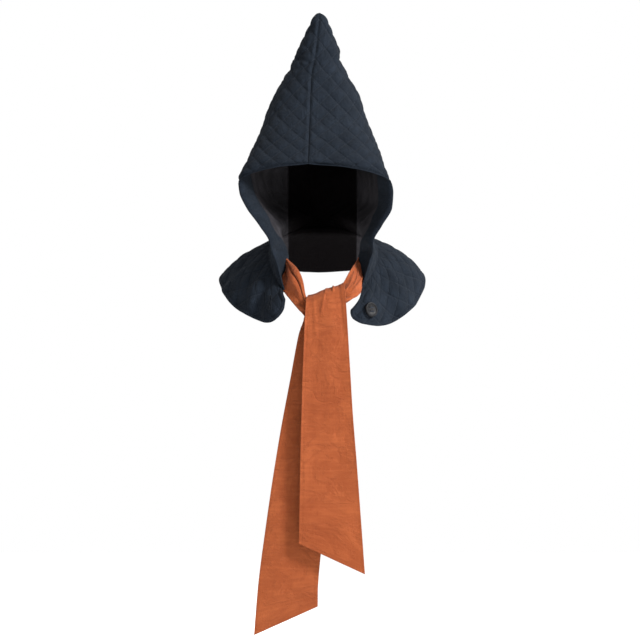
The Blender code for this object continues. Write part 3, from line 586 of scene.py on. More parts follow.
class Wire:
    """A node's socket that adds Math nodes when it is used in an expression."""

    def __init__(self, paint, socket):
        self.paint = paint
        self.socket = socket

    def math(self, operation, *values):
        """Math node over a list of sockets and numbers."""
        return self.paint.node("ShaderNodeMath", {"operation": operation}, dict(enumerate(values)))

    def __add__(self, other):
        return self.math("ADD", self, other)

    def __sub__(self, other):
        return self.math("SUBTRACT", self, other)

    def __rsub__(self, other):
        return self.math("SUBTRACT", other, self)

    def __mul__(self, other):
        return self.math("MULTIPLY", self, other)

    def __truediv__(self, other):
        return self.math("DIVIDE", self, other)

    def __rtruediv__(self, other):
        return self.math("DIVIDE", other, self)

    __radd__ = __add__
    __rmul__ = __mul__

    def wave(self):
        """Sine of the socket counted in turns."""
        return self.math("SINE", self * math.tau)

    def size(self):
        """Value without its sign."""
        return self.math("ABSOLUTE", self)

    def fraction(self):
        """Part after the whole number."""
        return self.math("FRACT", self)

    def or_more(self, other):
        """The larger of two values."""
        return self.math("MAXIMUM", self, other)

    def ramp(self, low, high):
        """0 below low and 1 above high, with a smooth step between."""
        settings = {"interpolation_type": "SMOOTHSTEP"}
        inputs = {"Value": self, "From Min": low, "From Max": high}
        return self.paint.node("ShaderNodeMapRange", settings, inputs)


class Paint:
    """Node tree of one material."""

    FACTOR, FIRST, SECOND, BLENDED = 0, 6, 7, 2  # the colour sockets of a Mix node
    OBJECT_PLACE = 3  # the socket of object coordinates

    def __init__(self, name, roughness, specular=0.12, sheen=0.0, sheen_roughness=0.5):
        self.material = bpy.data.materials.new(name)
        self.material.use_nodes = True
        self.tree = self.material.node_tree
        self.shader = self.tree.nodes["Principled BSDF"]
        self.shader.inputs["Roughness"].default_value = roughness
        self.shader.inputs["Sheen Weight"].default_value = sheen
        self.shader.inputs["Sheen Roughness"].default_value = sheen_roughness
        self.shader.inputs["Specular IOR Level"].default_value = specular

    def node(self, kind, settings=None, inputs=None, output=0):
        """Node of a type with its settings, its inputs as sockets or values, and one of its outputs."""
        made = self.tree.nodes.new(kind)
        for key, value in (settings or {}).items():
            setattr(made, key, value)
        for key, value in (inputs or {}).items():
            if isinstance(value, Wire):
                self.tree.links.new(value.socket, made.inputs[key])
            else:
                made.inputs[key].default_value = value
        return Wire(self, made.outputs[output])

    def cloth_place(self):
        """The two directions on the cloth, in metres."""
        place = self.node("ShaderNodeUVMap", {"uv_map": "cloth"})
        across = self.node("ShaderNodeSeparateXYZ", None, {0: place})
        return place, across, Wire(self, across.socket.node.outputs["Y"])

    def solid_place(self):
        """The place in the piece, in metres."""
        return self.node("ShaderNodeTexCoord", output=self.OBJECT_PLACE)

    def noise(self, place, scale, detail=3.0, roughness=0.5, stretch=None, distortion=0.0):
        """Noise between 0 and 1, bumps per metre, stretched if asked."""
        if stretch:
            place = self.node("ShaderNodeMapping", None, {"Vector": place, "Scale": stretch})
        inputs = {"Vector": place, "Scale": scale, "Detail": detail}
        inputs |= {"Roughness": roughness, "Distortion": distortion}
        return self.node("ShaderNodeTexNoise", None, inputs)

    def mix(self, factor, first, second):
        """Blend of two colours."""
        first, second = (c if isinstance(c, Wire) else (*c, 1.0) for c in (first, second))
        inputs = {self.FACTOR: factor, self.FIRST: first, self.SECOND: second}
        return self.node("ShaderNodeMix", {"data_type": "RGBA"}, inputs, self.BLENDED)

    def weave(self, across, up, pitch):
        """Height of a plain weave: threads over and under each other."""
        warp, weft = (across / pitch).wave(), (up / pitch).wave()
        over = (across / (2 * pitch) + up / (2 * pitch)).wave()
        return (warp.size() + weft.size()) * 0.5 + over * 0.15

    def finish(self, colour, height, distance, strength=1.0):
        """Material with a colour and a fine relief."""
        inputs = {"Distance": distance, "Strength": strength, "Height": height}
        raised = self.node("ShaderNodeBump", None, inputs)
        self.tree.links.new(colour.socket, self.shader.inputs["Base Color"])
        self.tree.links.new(raised.socket, self.shader.inputs["Normal"])
        return self.material


def toned(colour, factor, lift=0.0):
    """Darker or lighter tone of a colour."""
    return tuple(part * factor + lift for part in colour)


def quilting_cloth(name, colour, style, stitched=True):
    """Matt cotton with a fine weave, lint, painted shade along its crushed creases and, if stitched, the
    quilting's thread lines with painted shade in their grooves.
    """
    paint = Paint(name, 0.92, specular=0.035, sheen=0.010, sheen_roughness=0.5)
    place, across, up = paint.cloth_place()
    weave = paint.weave(across, up, style.weave_pitch)
    slub = paint.noise(place, 900.0, 2.0, 0.6, (1.0, 0.18, 1.0))
    mottle = paint.noise(place, 28.0, 4.0, 0.6)
    lint = paint.noise(place, 420.0, 3.0, 0.7)
    dark, light = toned(colour, 0.62), toned(colour, 1.5, 0.004)
    tone = paint.mix(mottle.ramp(0.3, 0.7), dark, colour)
    tone = paint.mix(lint.ramp(0.62, 0.78) * 0.5, tone, light)
    crush = paint.noise(place, 95.0, 4.0, 0.6, (1.0, 0.7, 1.0), 0.7)
    crease = (1 - (crush - 0.5).size() * 2.0).ramp(0.80, 0.99)
    # Painted shade: the tone darkens along the sunk crush creases, where shade falls.
    tone = paint.mix(crease * 0.35, tone, dark)
    height = weave * 0.30 + slub * 0.35 + lint * 0.25 - crease * 0.8 + crush * 0.8
    if stitched:
        p = across / style.diamond_width + up / style.diamond_height
        q = across / style.diamond_width - up / style.diamond_height
        drift = (paint.noise(place, 33.0, 0.0) - 0.5) * QUILT_DRIFT
        p, q = p + drift, q + drift
        spacing = 1 / math.hypot(1 / style.diamond_width, 1 / style.diamond_height)
        lines = []
        for line, run in ((p, q), (q, p)):
            off = ((line + 0.5).fraction() - 0.5).size() * spacing
            dash = (run * (spacing * 2 / style.stitch_pitch)).wave().ramp(-0.3, 0.2)
            lines.append((1 - off.ramp(0.0004, 0.0011)) * dash)
            # Painted shade: the groove beside each stitched line is sunk in the relief and also darkened in
            # colour.
            groove_and_painted_shade = 1 - off.ramp(0.0, 0.0032)
            height = height - groove_and_painted_shade * 0.8
            tone = paint.mix(groove_and_painted_shade * 0.55, tone, toned(colour, 0.4))
        thread = lines[0].or_more(lines[1])
        height = height + thread * 0.9
        tone = paint.mix(thread * 0.6, tone, toned(colour, 1.9, 0.006))
    return paint.finish(tone, height, 0.0009, 0.9)


def lining_cloth(name, colour, shade_band_middle=0.0053, shade_band_half=0.0518):
    """Smooth charcoal lining with a faint twill and soft creases painted lighter on their crests and darker
    in their troughs, and a near-black band of painted shade down the middle of its back.
    """
    paint = Paint(name, 0.80, specular=0.012)
    place, across, up = paint.cloth_place()
    twill = ((across + up) / 0.0009).wave()
    crease = paint.noise(place, 55.0, 3.0, 0.55, (1.0, 0.4, 1.0))
    # Painted light and shade: the tone follows the crease relief, lighter on its crests and darker in its
    # troughs.
    tone = paint.mix(crease.ramp(0.3, 0.75), toned(colour, 0.75), toned(colour, 1.3))
    # Painted shade: a near-black band down the middle of the back stands for the deep shade inside the hood,
    # with a seam line in the relief at its edges.
    x = paint.node("ShaderNodeSeparateXYZ", None, {0: paint.solid_place()})
    off = (x - shade_band_middle).size()
    back = 1 - off.ramp(shade_band_half - 0.0012, shade_band_half + 0.0012)
    tone = paint.mix(back * 0.97, tone, (0.0024, 0.0018, 0.0020))
    seam = 1 - (off - shade_band_half).size().ramp(0.0, 0.0016)
    return paint.finish(tone, twill * 0.12 + crease * 0.9 - seam * 0.8, 0.0012)


def rust_cloth(name, colour, style):
    """Plain-woven cotton with slubs, crushed cross creases with painted shade along them, and faint stitched
    hems.
    """
    paint = Paint(name, 0.92, specular=0.06, sheen=0.04, sheen_roughness=0.6)
    place, across, up = paint.cloth_place()
    weave = paint.weave(across, up, style.weave_pitch)
    weft_slub = paint.noise(place, 260.0, 3.0, 0.6, (0.10, 1.0, 1.0))
    warp_slub = paint.noise(place, 420.0, 3.0, 0.6, (1.0, 0.08, 1.0))
    crush = paint.noise(place, 34.0, 5.0, 0.62, (0.55, 1.0, 1.0), 0.6)
    ridge = 1 - (crush - 0.5).size() * 2.0
    crease = ridge.ramp(0.82, 0.99)
    mottle = paint.noise(place, 14.0, 4.0, 0.6)
    dark = tuple(c * f for c, f in zip(colour, (0.72, 0.62, 0.55)))
    light = tuple(min(c * f, 1.0) for c, f in zip(colour, (1.14, 1.24, 1.35)))
    tone = paint.mix(mottle.ramp(0.25, 0.75) * 0.70 + weft_slub.ramp(0.35, 0.75) * 0.45, dark, colour)
    tone = paint.mix(warp_slub.ramp(0.55, 0.8) * 0.35, tone, light)
    # Painted shade: the tone darkens along the sunk crush creases, where shade falls.
    tone = paint.mix(crease * 0.4, tone, dark)
    height = weave * 0.25 + weft_slub * 0.5 + warp_slub * 0.4 - crease * 0.7 + crush * 1.4
    return paint.finish(tone, height, 0.0012, 0.9)


def horn(name, colour):
    """Dark polished horn with clouded grain."""
    paint = Paint(name, 0.46, specular=0.10)
    place = paint.solid_place()
    grain = paint.noise(place, 130.0, 4.0, 0.6, (1.0, 1.0, 0.3), 0.8)
    scratch = paint.noise(place, 900.0, 2.0, 0.5, (1.0, 1.0, 0.1))
    tone = paint.mix(grain.ramp(0.35, 0.7), toned(colour, 0.5), toned(colour, 1.9))
    return paint.finish(tone, scratch, 0.00008)


def thread_fibre(name, colour):
    """Twisted sewing thread."""
    paint = Paint(name, 0.80, specular=0.08, sheen=0.03)
    place = paint.solid_place()
    fibre = paint.noise(place, 2600.0, 2.0, 0.6)
    tone = paint.mix(fibre, toned(colour, 0.6), toned(colour, 1.5))
    return paint.finish(tone, fibre, 0.0001)


# Sizes and colours that a user would change


def length(name, description, default, high=1.0):
    """Size in metres that a user can change."""
    return bpy.props.FloatProperty(
        name=name, description=description, default=default, min=0.0, max=high, unit="LENGTH"
    )


def colour(name, description, default):
    """Colour that a user can change."""
    return bpy.props.FloatVectorProperty(
        name=name, description=description, default=default, size=3, subtype="COLOR", min=0.0, max=1.0
    )


class HoodQuilting(bpy.types.PropertyGroup):
    """Quilting and cloth of the hood and collar."""

    diamond_width: length("Diamond width", "Side to side of one quilted diamond", 0.028)
    diamond_height: length("Diamond height", "Top to bottom of one quilted diamond", 0.033)
    puff_height: length("Puff height", "Rise of a diamond above its stitched edges", 0.0019)
    weave_pitch: length("Weave pitch", "Distance between threads of the outer cloth", 0.0009)
    stitch_pitch: length("Stitch pitch", "Distance between quilting stitches", 0.0034)
    wall: length("Quilt thickness", "Thickness of the quilted cloth", 0.0022)
    navy: colour("Outer cloth", "Colour of the outer cloth", (0.0086, 0.0118, 0.0172))
    lining: colour("Lining", "Colour of the lining", (0.0270, 0.0255, 0.0285))


class HoodTies(bpy.types.PropertyGroup):
    """The two ties."""

    width: length("Tie width", "Width of each tie as cut", 0.094)
    thickness: length("Tie thickness", "Thickness of the doubled cotton", 0.0013)
    weave_pitch: length("Weave pitch", "Distance between threads of the tie", 0.0008)
    rust: colour("Tie cloth", "Colour of the ties", (0.234, 0.0580, 0.0176))


class HoodStage(bpy.types.PropertyGroup):
    """Floor, light and camera."""

    floor_gap: length("Floor gap", "Floor below the lowest tail", 0.060)
    camera_distance: length("Camera distance", "Camera in front of the hood", 12.0, 50.0)
    frame_width: length("Frame width", "Width of the picture at the hood", 0.96, 10.0)


# Pieces


class HoodOperator:
    """Shared settings of the operators."""

    bl_options = {"REGISTER", "UNDO"}


class OBJECT_OT_hood_panels(HoodOperator, bpy.types.Operator):
    """Quilted side panels of the pointed hood"""

    bl_idname = "object.hood_panels"
    bl_label = "Hood Panels"

    def execute(self, context):
        style = context.scene.hood_quilting
        finish = quilting_cloth("quilted_cloth", style.navy, style)
        edge = near_tree(face_edge_points())
        for side, node in ((LEFT, "hood_panel_left"), (RIGHT, "hood_panel_right")):
            self.build(side, node, style, finish, edge)
        return {"FINISHED"}

    def build(self, side, node, style, finish, edge):
        """One side's panel, puffed between its stitches and pulled in at its seams."""
        facts = []

        def place(across, up):
            key = spread_key(up, KEYS[-1])
            point, from_front, (_, from_back) = hood_at(key, across, side)
            seam = min(from_front, from_back) if key >= BROW_ROW else from_back
            facts.append((min(seam, 1.0), seam_lie(key, side, across)))
            return point, (from_front, height_on_cloth(key))

        shape, cloth = placed_grid(*PANEL_GRID, place, flip=side == LEFT)
        neck = near_tree([hood_at(0.0, n / EDGE_SAMPLES, side)[0] for n in range(EDGE_SAMPLES + 1)])
        top = height_on_cloth(KEYS[-1])
        for vertex, (seam, lie) in zip(shape.verts, facts):
            s, t = cloth[vertex]
            if seam < 1e-6:
                vertex.co += lie * CENTRE_SEAM[0].height * min((top - t) / 0.01, 1.0)
                continue
            flat = min(seam / 0.006, (top - t) / 0.02, 1.0)
            to_edge = edge.find(vertex.co)[2]
            to_neck = neck.find(vertex.co)[2]
            flat = max(min(flat, to_edge / 0.005, to_neck / 0.007), 0.0)
            rise = quilted(s, t, style) * flat
            rise += 0.0012 * wobble(s, t, 0.07, side * 5.0) * min(to_neck / 0.02, seam / 0.01, 1.0)
            rise += relief(to_neck, NECK_SEAM) + relief(to_edge, FACE_ROLL)
            rise += relief(seam, CENTRE_SEAM + SEAM_RIDGE[side])
            vertex.co += vertex.normal * (rise - kink(vertex.co))
        panel = finish_mesh(node + "_quilt", shape, cloth, finish, merge=1e-5)
        thicken(panel, style.wall)
        seat(panel, "navy_quilting", node)


def kink(point):
    """Depth of the creases where the hood's point bends."""
    depth = 0.0
    from_seam = abs(point.x - 0.001)
    for height, tilt, deep in POINT_CREASES:
        off = point.z - height - tilt * from_seam - 0.003 * wobble(point.x, point.y, 0.02, height)
        depth += deep * bump(off, 0.0026) * smooth_step(from_seam, 0.002, 0.022)
    return depth


def seam_lie(key, side, across):
    """Direction straight out of the cloth on a centre seam, the same for both panels."""
    share = 0.0 if across < 0.5 else 1.0
    above, below = min(key + 0.1, KEYS[-1]), max(key - 0.1, 0.0)
    run = hood_at(above, share, side)[0] - hood_at(below, share, side)[0]
    lie = Vector((0, run.z, -run.y)) if share else Vector((0, -run.z, run.y))
    return lie.normalized()


def face_edge_points():
    """Points along the face edge from the left throat over the brow to the right throat."""
    keys = [BROW_ROW * n / EDGE_SAMPLES for n in range(EDGE_SAMPLES + 1)]
    left, right = ([hood_at(key, 0.0, side)[0] for key in keys] for side in (LEFT, RIGHT))
    return left + right[-2::-1]


def hood_tree():
    """Search tree of the hood's smooth outside, both halves."""
    points, faces = [], []
    for side in (LEFT, RIGHT):

        def place(across, up):
            return hood_at(spread_key(up, KEYS[-1]), across, side)[0], None

        shape, _ = placed_grid(*SEARCH_GRID, place, flip=side == LEFT)
        start = len(points)
        shape.verts.index_update()
        points += [vertex.co.copy() for vertex in shape.verts]
        faces += [[start + vertex.index for vertex in face.verts] for face in shape.faces]
        shape.free()
    return BVHTree.FromPolygons(points, faces)


class OBJECT_OT_hood_lining(HoodOperator, bpy.types.Operator):
    """Dark lining inside the hood"""

    bl_idname = "object.hood_lining"
    bl_label = "Hood Lining"

    def execute(self, context):
        style = context.scene.hood_quilting
        finish = lining_cloth("lining_cloth", style.lining)

        def place(across, up):
            key = spread_key(up, LINING_ROWS)
            side = LEFT if across < 0.5 else RIGHT
            share = across * 2 if side == LEFT else 2 - across * 2
            point, from_front, _ = hood_at(key, share, side)
            return point, (side * (0.4 - from_front), height_on_cloth(key))

        edge = near_tree(face_edge_points())
        shape, cloth = placed_grid(*LINING_GRID, place, flip=True)
        off = {vertex: edge.find(vertex.co)[2] for vertex in shape.verts}
        hem = [face for face in shape.faces if min(off[vertex] for vertex in face.verts) < 0.0015]
        bmesh.ops.delete(shape, geom=hem, context="FACES")
        for vertex in shape.verts:
            s, t = cloth[vertex]
            from_edge = edge.find(vertex.co)[2]
            fold = max(wobble(s * 1.6, t * 0.5, 0.03, 2.0), 0.0) * smooth_step(from_edge, 0.036, 0.055)
            vertex.co -= vertex.normal * (LINING_DEPTH + 0.0022 * fold)
            vertex.co = neck_drape(vertex.co, from_edge)
        lining = finish_mesh("hood_lining_cloth", shape, cloth, finish)
        thicken(lining, LINING_WALL)
        seat(lining, "black_lining", "hood_lining")
        return {"FINISHED"}


class OBJECT_OT_hood_facing(HoodOperator, bpy.types.Operator):
    """Band of outer cloth turned in round the face opening"""

    bl_idname = "object.hood_facing"
    bl_label = "Face Facing"

    def execute(self, context):
        style = context.scene.hood_quilting
        finish = quilting_cloth("facing_cloth", toned(style.navy, 0.95), style, stitched=False)
        edge = face_edge_points()
        sums = cumulative(edge)
        tree = hood_tree()
        middle = sums[EDGE_SAMPLES]
        for side, node, first, last in (
            (LEFT, "face_facing_left", 0.0, middle - 0.0002),
            (RIGHT, "face_facing_right", middle + 0.0002, sums[-1]),
        ):
            self.build(side, node, edge, sums, first, last, tree, finish)
        return {"FINISHED"}

    def build(self, side, node, edge, sums, first, last, tree, finish):
        """One side's band, from the throat to the brow, between two distances along the face edge."""
        face_edge = near_tree(edge)

        def edge_at(distance):
            place = read_off(sums, distance)
            i = min(int(place), len(edge) - 2)
            return edge[i].lerp(edge[i + 1], place - i)

        def along_section(distance):
            place = read_off(sums, distance)
            place = place if side == LEFT else len(edge) - 1 - place
            fine = hood_row(place * BROW_ROW / EDGE_SAMPLES, side)[0]
            return (fine[6] - fine[0]).normalized()

        def place(across, up):
            distance = first + (last - first) * across
            start = edge_at(distance)
            ahead = (edge_at(distance + 0.004) - edge_at(distance - 0.004)).normalized()
            normal = tree.find_nearest(start)[1]
            inward = normal.cross(ahead).normalized()
            climb = smooth_step(start.z, -0.100, -0.150) * smooth_step(start.z, THROAT, -0.190)
            inward = inward.lerp(along_section(distance), 0.6 * climb).normalized()
            width = FACING_WIDTH - 0.0135 * bump(start.z + 0.159, 0.017)
            width += (0.0080 if side == LEFT else 0.0045) * bump(start.z + 0.198, 0.018)
            reach = -FACING_LIP + (width + FACING_LIP) * up
            turned = min((reach + FACING_LIP) / (FACING_TURN + FACING_LIP), 1.0)
            depth = FACING_DEPTH - 0.0046 * (1 - turned) ** 2
            if reach <= 0:
                point = start + inward * reach - normal * depth
            else:
                point = start + inward * reach
                near, face_normal, _, _ = tree.find_nearest(point)
                point -= face_normal * ((point - near).dot(face_normal) + depth)
                point = neck_drape(point, face_edge.find(point)[2])
            return point, (distance, reach)

        shape, cloth = placed_grid(*FACING_GRID, place)
        inner = [vertex for vertex in shape.verts if not vertex.is_boundary]
        for _ in range(2):
            bmesh.ops.smooth_vert(
                shape, verts=inner, factor=0.5, use_axis_x=True, use_axis_y=True, use_axis_z=True
            )
        shape.normal_update()
        head = Vector((0, -0.02, -0.12))
        face_towards(shape, lambda middle: head - middle)
        for vertex in shape.verts:
            s, t = cloth[vertex]
            pucker = wobble(s, t * 0.3, 0.012, side * 2.0) * 0.0006 * min(max(t, 0.0) / 0.01, 1.0)
            vertex.co += vertex.normal * (pucker + 0.0004)
        facing = finish_mesh(node + "_cloth", shape, cloth, finish)
        thicken(facing, LINING_WALL)
        seat(facing, "navy_facing", node)
        last - first


def face_towards(shape, wanted):
    """Faces turned over where most look away from the direction wanted at their middles."""
    middles = ((face.normal, face.calc_center_median()) for face in shape.faces)
    votes = sum(1 if normal.dot(wanted(middle)) > 0 else -1 for normal, middle in middles)
    if votes < 0:
        bmesh.ops.reverse_faces(shape, faces=shape.faces)
    shape.normal_update()


def collar_curve(side):
    """Function that gives the seam, hem, fold and hood wall at a row number of one side, and its last row."""
    table = LEFT_HEM if side == LEFT else RIGHT_HEM

    def at(key):
        row = rounded_at(table, key)
        along = min(max(row.along, 0.0), 1.0)
        seam = hood_at(0.0, along, side)[0]
        wall = (hood_at(0.3, along, side)[0] - seam).normalized()
        x, y = side * row.reach * COLLAR_REACH, row.depth * COLLAR_BACK
        return seam, Vector((x, y, THROAT - row.drop * COLLAR_DROP)), row.fold, wall

    return at, len(table) - 1


class CollarSurface:
    """Collar from the left front end round the back to the right front end."""

    def __init__(self):
        self.sides = {side: collar_curve(side) for side in (LEFT, RIGHT)}
        self.sums = {}
        for side, (at, last) in self.sides.items():
            rows = [at(last * n / HEM_SAMPLES) for n in range(HEM_SAMPLES + 1)]
            hems = cumulative([row[1] for row in rows])
            seams = cumulative([row[0] for row in rows])
            self.sums[side] = [a * 0.7 + b * 0.3 for a, b in zip(hems, seams)]
        self.split = self.sums[LEFT][-1] / (self.sums[LEFT][-1] + self.sums[RIGHT][-1])

    def station(self, across):
        """Seam and hem points, fold, the hood wall's direction and the distance from the centre back."""
        side = LEFT if across < self.split else RIGHT
        total = self.sums[side][-1]
        share = across / self.split if side == LEFT else (1 - across) / (1 - self.split)
        at, last = self.sides[side]
        key = read_off(self.sums[side], share * total) * last / HEM_SAMPLES
        return *at(key), side * total * (1 - share)

    def base(self, across, down):
        """Point on the straight line from the seam to the hem."""
        seam, hem = self.station(across)[:2]
        return seam.lerp(hem, down)

    def point(self, across, down, tuck=0.0035):
        """Point on the collar's smooth outside and its place on the cloth; down is negative in the seam."""
        across = min(max(across, 0.0), 1.0)
        seam, hem, fold, wall, along = self.station(across)
        if down < 0:
            inwards = Vector((CENTRE_X - seam.x, CENTRE_Y - seam.y, 0)).normalized()
            tucked = seam + wall * tuck + inwards * 0.0013
            return seam.lerp(tucked, min(-down / 0.03, 1.0)), (along, down * 0.15)
        flat = seam.lerp(hem, down)
        low, high = max(across - 0.004, 0.0), min(across + 0.004, 1.0)
        run = self.base(high, down) - self.base(low, down)
        normal = run.cross(seam - hem).normalized()
        if normal.dot(Vector((flat.x - CENTRE_X, flat.y - CENTRE_Y, 0.05))) < 0:
            normal.negate()
        rise = math.sin(math.pi * down) + fold * math.sin(math.pi * down * 0.75)
        crown = COLLAR_CROWN * min((hem - seam).length / 0.045, 1.0)
        return flat + normal * crown * rise, (along, (hem - seam).length * down)


class OBJECT_OT_hood_collar(HoodOperator, bpy.types.Operator):
    """Quilted cape collar and its lining"""

    bl_idname = "object.hood_collar"
    bl_label = "Collar"

    def execute(self, context):
        style = context.scene.hood_quilting
        surface = CollarSurface()
        stations = [n / RIM_SAMPLES for n in range(RIM_SAMPLES + 1)]
        rim = [surface.point(across, 1.0)[0] for across in stations]
        rim += [surface.point(end, n / 10)[0] for end in (0.0, 1.0) for n in range(10)]
        edge = near_tree(rim)
        seam = near_tree([surface.point(across, 0.0)[0] for across in stations])

        def place(across, up):
            return surface.point(across, 1 - 1.03 * up)

        shape, cloth = placed_grid(*COLLAR_GRID, place)
        self.face_out(shape)
        for vertex in shape.verts:
            s, t = cloth[vertex]
            to_rim, to_seam = edge.find(vertex.co)[2], seam.find(vertex.co)[2]
            if t < 0:
                continue
            flat = max(min(to_rim / 0.006, to_seam / 0.006, 1.0), 0.0)
            rise = 0.8 * quilted(s, t, style) * flat
            rise += 0.0016 * wobble(s, t, 0.05, 4.0) * min(to_seam / 0.015, 1.0)
            rise += relief(to_seam, NECK_SEAM) + relief(to_rim, COLLAR_RIM)
            front = smooth_step(abs(s), 0.17, 0.24) * smooth_step(to_seam, 0.004, 0.030)
            rise += 0.0030 * front * wobble(s * 1.5, t * 0.35, 0.030, 12.0 if s < 0 else 21.0)
            patch = bump((vertex.co - Vector((0.118, vertex.co.y, -0.231))).length, 0.016)
            rise += 0.0016 * patch * wobble(s + t, (t - s) * 0.35, 0.0075, 2.0)
            vertex.co += vertex.normal * rise
        self.cut_buttonhole(shape, cloth)
        finish = quilting_cloth("collar_cloth", style.navy, style)
        collar = finish_mesh("collar_quilt", shape, cloth, finish)
        thicken(collar, style.wall, 0.0007)
        seat(collar, "navy_quilting", "collar")
        self.lining(surface, style)
        return {"FINISHED"}

    def cut_buttonhole(self, shape, cloth):
        """Slit down the left flap, between two of the grid's columns, with raised lips."""
        middle = min(
            (vertex for vertex in shape.verts if vertex.co.y < 0),
            key=lambda vertex: math.hypot(vertex.co.x - BUTTONHOLE_X, vertex.co.z - BUTTONHOLE_Z),
        )
        s0, t0 = cloth[middle]
        slit = []
        for face in shape.faces:
            s = sum(cloth[vertex][0] for vertex in face.verts) / 4 - s0
            t = sum(cloth[vertex][1] for vertex in face.verts) / 4 - t0
            if 0 < s < BUTTONHOLE_WIDTH and abs(t) < BUTTONHOLE_LENGTH / 2:
                slit.append(face)
        lips = {vertex for face in slit for vertex in face.verts}
        for vertex in lips:
            vertex.co += vertex.normal * 0.0006
        bmesh.ops.delete(shape, geom=slit, context="FACES")

    def face_out(self, shape):
        """Faces look away from the neck's axis or upwards."""
        face_towards(shape, lambda middle: Vector((middle.x, middle.y, 0.05)))

    def lining(self, surface, style):
        """Dark lining under the collar, short of its edges and tucked into the neck seam."""

        def place(across, up):
            return surface.point(0.012 + 0.976 * across, -0.03 + 0.995 * (1 - up), 0.0085)

        shape, cloth = placed_grid(*COLLAR_LINING_GRID, place)
        self.face_out(shape)
        for vertex in shape.verts:
            s, t = cloth[vertex]
            fold = max(wobble(s, t * 0.4, 0.02, 7.0), 0.0) * 0.0012
            vertex.co -= vertex.normal * (COLLAR_LINING_DEPTH + fold)
        finish = lining_cloth("collar_lining_cloth", style.lining)
        lining = finish_mesh("collar_lining_cloth", shape, cloth, finish)
        thicken(lining, LINING_WALL)
        seat(lining, "black_lining", "collar_lining")


def off_crease(crease, s, t, width):
    """Distance on the cloth from a place to a crease, a little ragged."""
    start = Vector(((crease.across0 - 0.5) * width, crease.along0))
    end = Vector(((crease.across1 - 0.5) * width, crease.along1))
    run = end - start
    here = Vector((s + 0.0015 * wobble(s, t, 0.012, 5.0), t))
    share = min(max((here - start).dot(run) / run.length_squared, 0.0), 1.0)
    return (here - start - run * share).length


class OBJECT_OT_hood_ties(HoodOperator, bpy.types.Operator):
    """Two cotton ties in a half knot at the throat"""

    bl_idname = "object.hood_ties"
    bl_label = "Ties"

    def execute(self, context):
        ties = context.scene.hood_ties
        finish = rust_cloth("rust_cotton_cloth", ties.rust, ties)
        knot, fold_top = THROAT - KNOT_DROP, THROAT + KNOT_DROP * 0.25
        left = Tie(LEFT_TIE, BACK_TAIL_ROWS, BACK_TAIL_CUT, BACK_TAIL, knot, False, LEFT_CREASES)
        right = Tie(RIGHT_TIE, FRONT_TAIL_ROWS, FRONT_TAIL_CUT, FRONT_TAIL, fold_top, True, RIGHT_CREASES)
        self.build("tie_left", left, ties, finish)
        self.build("tie_right", right, ties, finish)
        return {"FINISHED"}

    def strip_of(self, parts, width):
        """The tie's two edges in metres, from its sewn end to its cut end."""
        strip = []
        for row in parts.rows:
            first = (row.ax * HALF_WIDTH, row.ay * FRONT_REACH, THROAT - row.az * HOOD_HEIGHT)
            second = (row.bx * HALF_WIDTH, row.by * FRONT_REACH, THROAT - row.bz * HOOD_HEIGHT)
            strip.append(Edges(*first, *second, row.bow, row.ruck, row.folds))
        end = parts.tail_rows[-1]._replace(bow=0.0, ruck=0.0)
        tail = [(row.fall, row.left, row.fall, row.right, row) for row in parts.tail_rows]
        for left_fall, left, right_fall, right, row in (*tail, (*parts.cut, end)):
            y = row.depth * FRONT_REACH
            ends = [
                (left * width, y, parts.top - left_fall * parts.length),
                (right * width, y, parts.top - right_fall * parts.length),
            ]
            if not parts.left_first:
                ends.reverse()
            strip.append(Edges(*ends[0], *ends[1], row.bow, row.ruck, TAIL_FOLDS))
        return strip

    def build(self, node, parts, ties, finish):
        """Strip of cloth between the tie's two edges, with its gathers and creases."""
        strip = self.strip_of(parts, ties.width)
        last = len(strip) - 1
        samples = [rounded_at(strip, last * n / STRIP_SAMPLES) for n in range(STRIP_SAMPLES + 1)]
        middles = [Vector(((r.ax + r.bx) / 2, (r.ay + r.by) / 2, (r.az + r.bz) / 2)) for r in samples]
        sums = cumulative(middles)

        def place(across, up):
            row = rounded_at(strip, read_off(sums, up * sums[-1]) * last / STRIP_SAMPLES)
            a, b = Vector((row.ax, row.ay, row.az)), Vector((row.bx, row.by, row.bz))
            return a.lerp(b, across), ((across - 0.5) * ties.width, up * sums[-1])

        shape, cloth = placed_grid(*TIE_GRID, place)
        moves = []
        for vertex in shape.verts:
            s, t = cloth[vertex]
            across = s / ties.width + 0.5
            row = rounded_at(strip, read_off(sums, t) * last / STRIP_SAMPLES)
            edge = min(across, 1 - across) * ties.width
            rise = row.bow * ties.width * math.sin(math.pi * across)
            drift = 2.0 * wobble(s, t, 0.08, 6.0)
            rise += row.ruck * ties.width * math.sin(math.tau * row.folds * across + drift)
            for wrinkle in TIE_WRINKLES:
                spot = (s * wrinkle.across, t * wrinkle.along)
                rise += wrinkle.height * wobble(*spot, wrinkle.size, wrinkle.seed)
            rise += relief(edge, TIE_HEM)
            for crease in parts.creases:
                rise -= crease.depth * bump(off_crease(crease, s, t, ties.width), crease.width)
            moves.append((vertex, vertex.normal * rise))
        for vertex, move in moves:
            vertex.co += move
        tie = finish_mesh(node + "_cloth", shape, cloth, finish)
        thicken(tie, ties.thickness, 0.0004, 0.0)
        seat(tie, "rust_cotton", node)


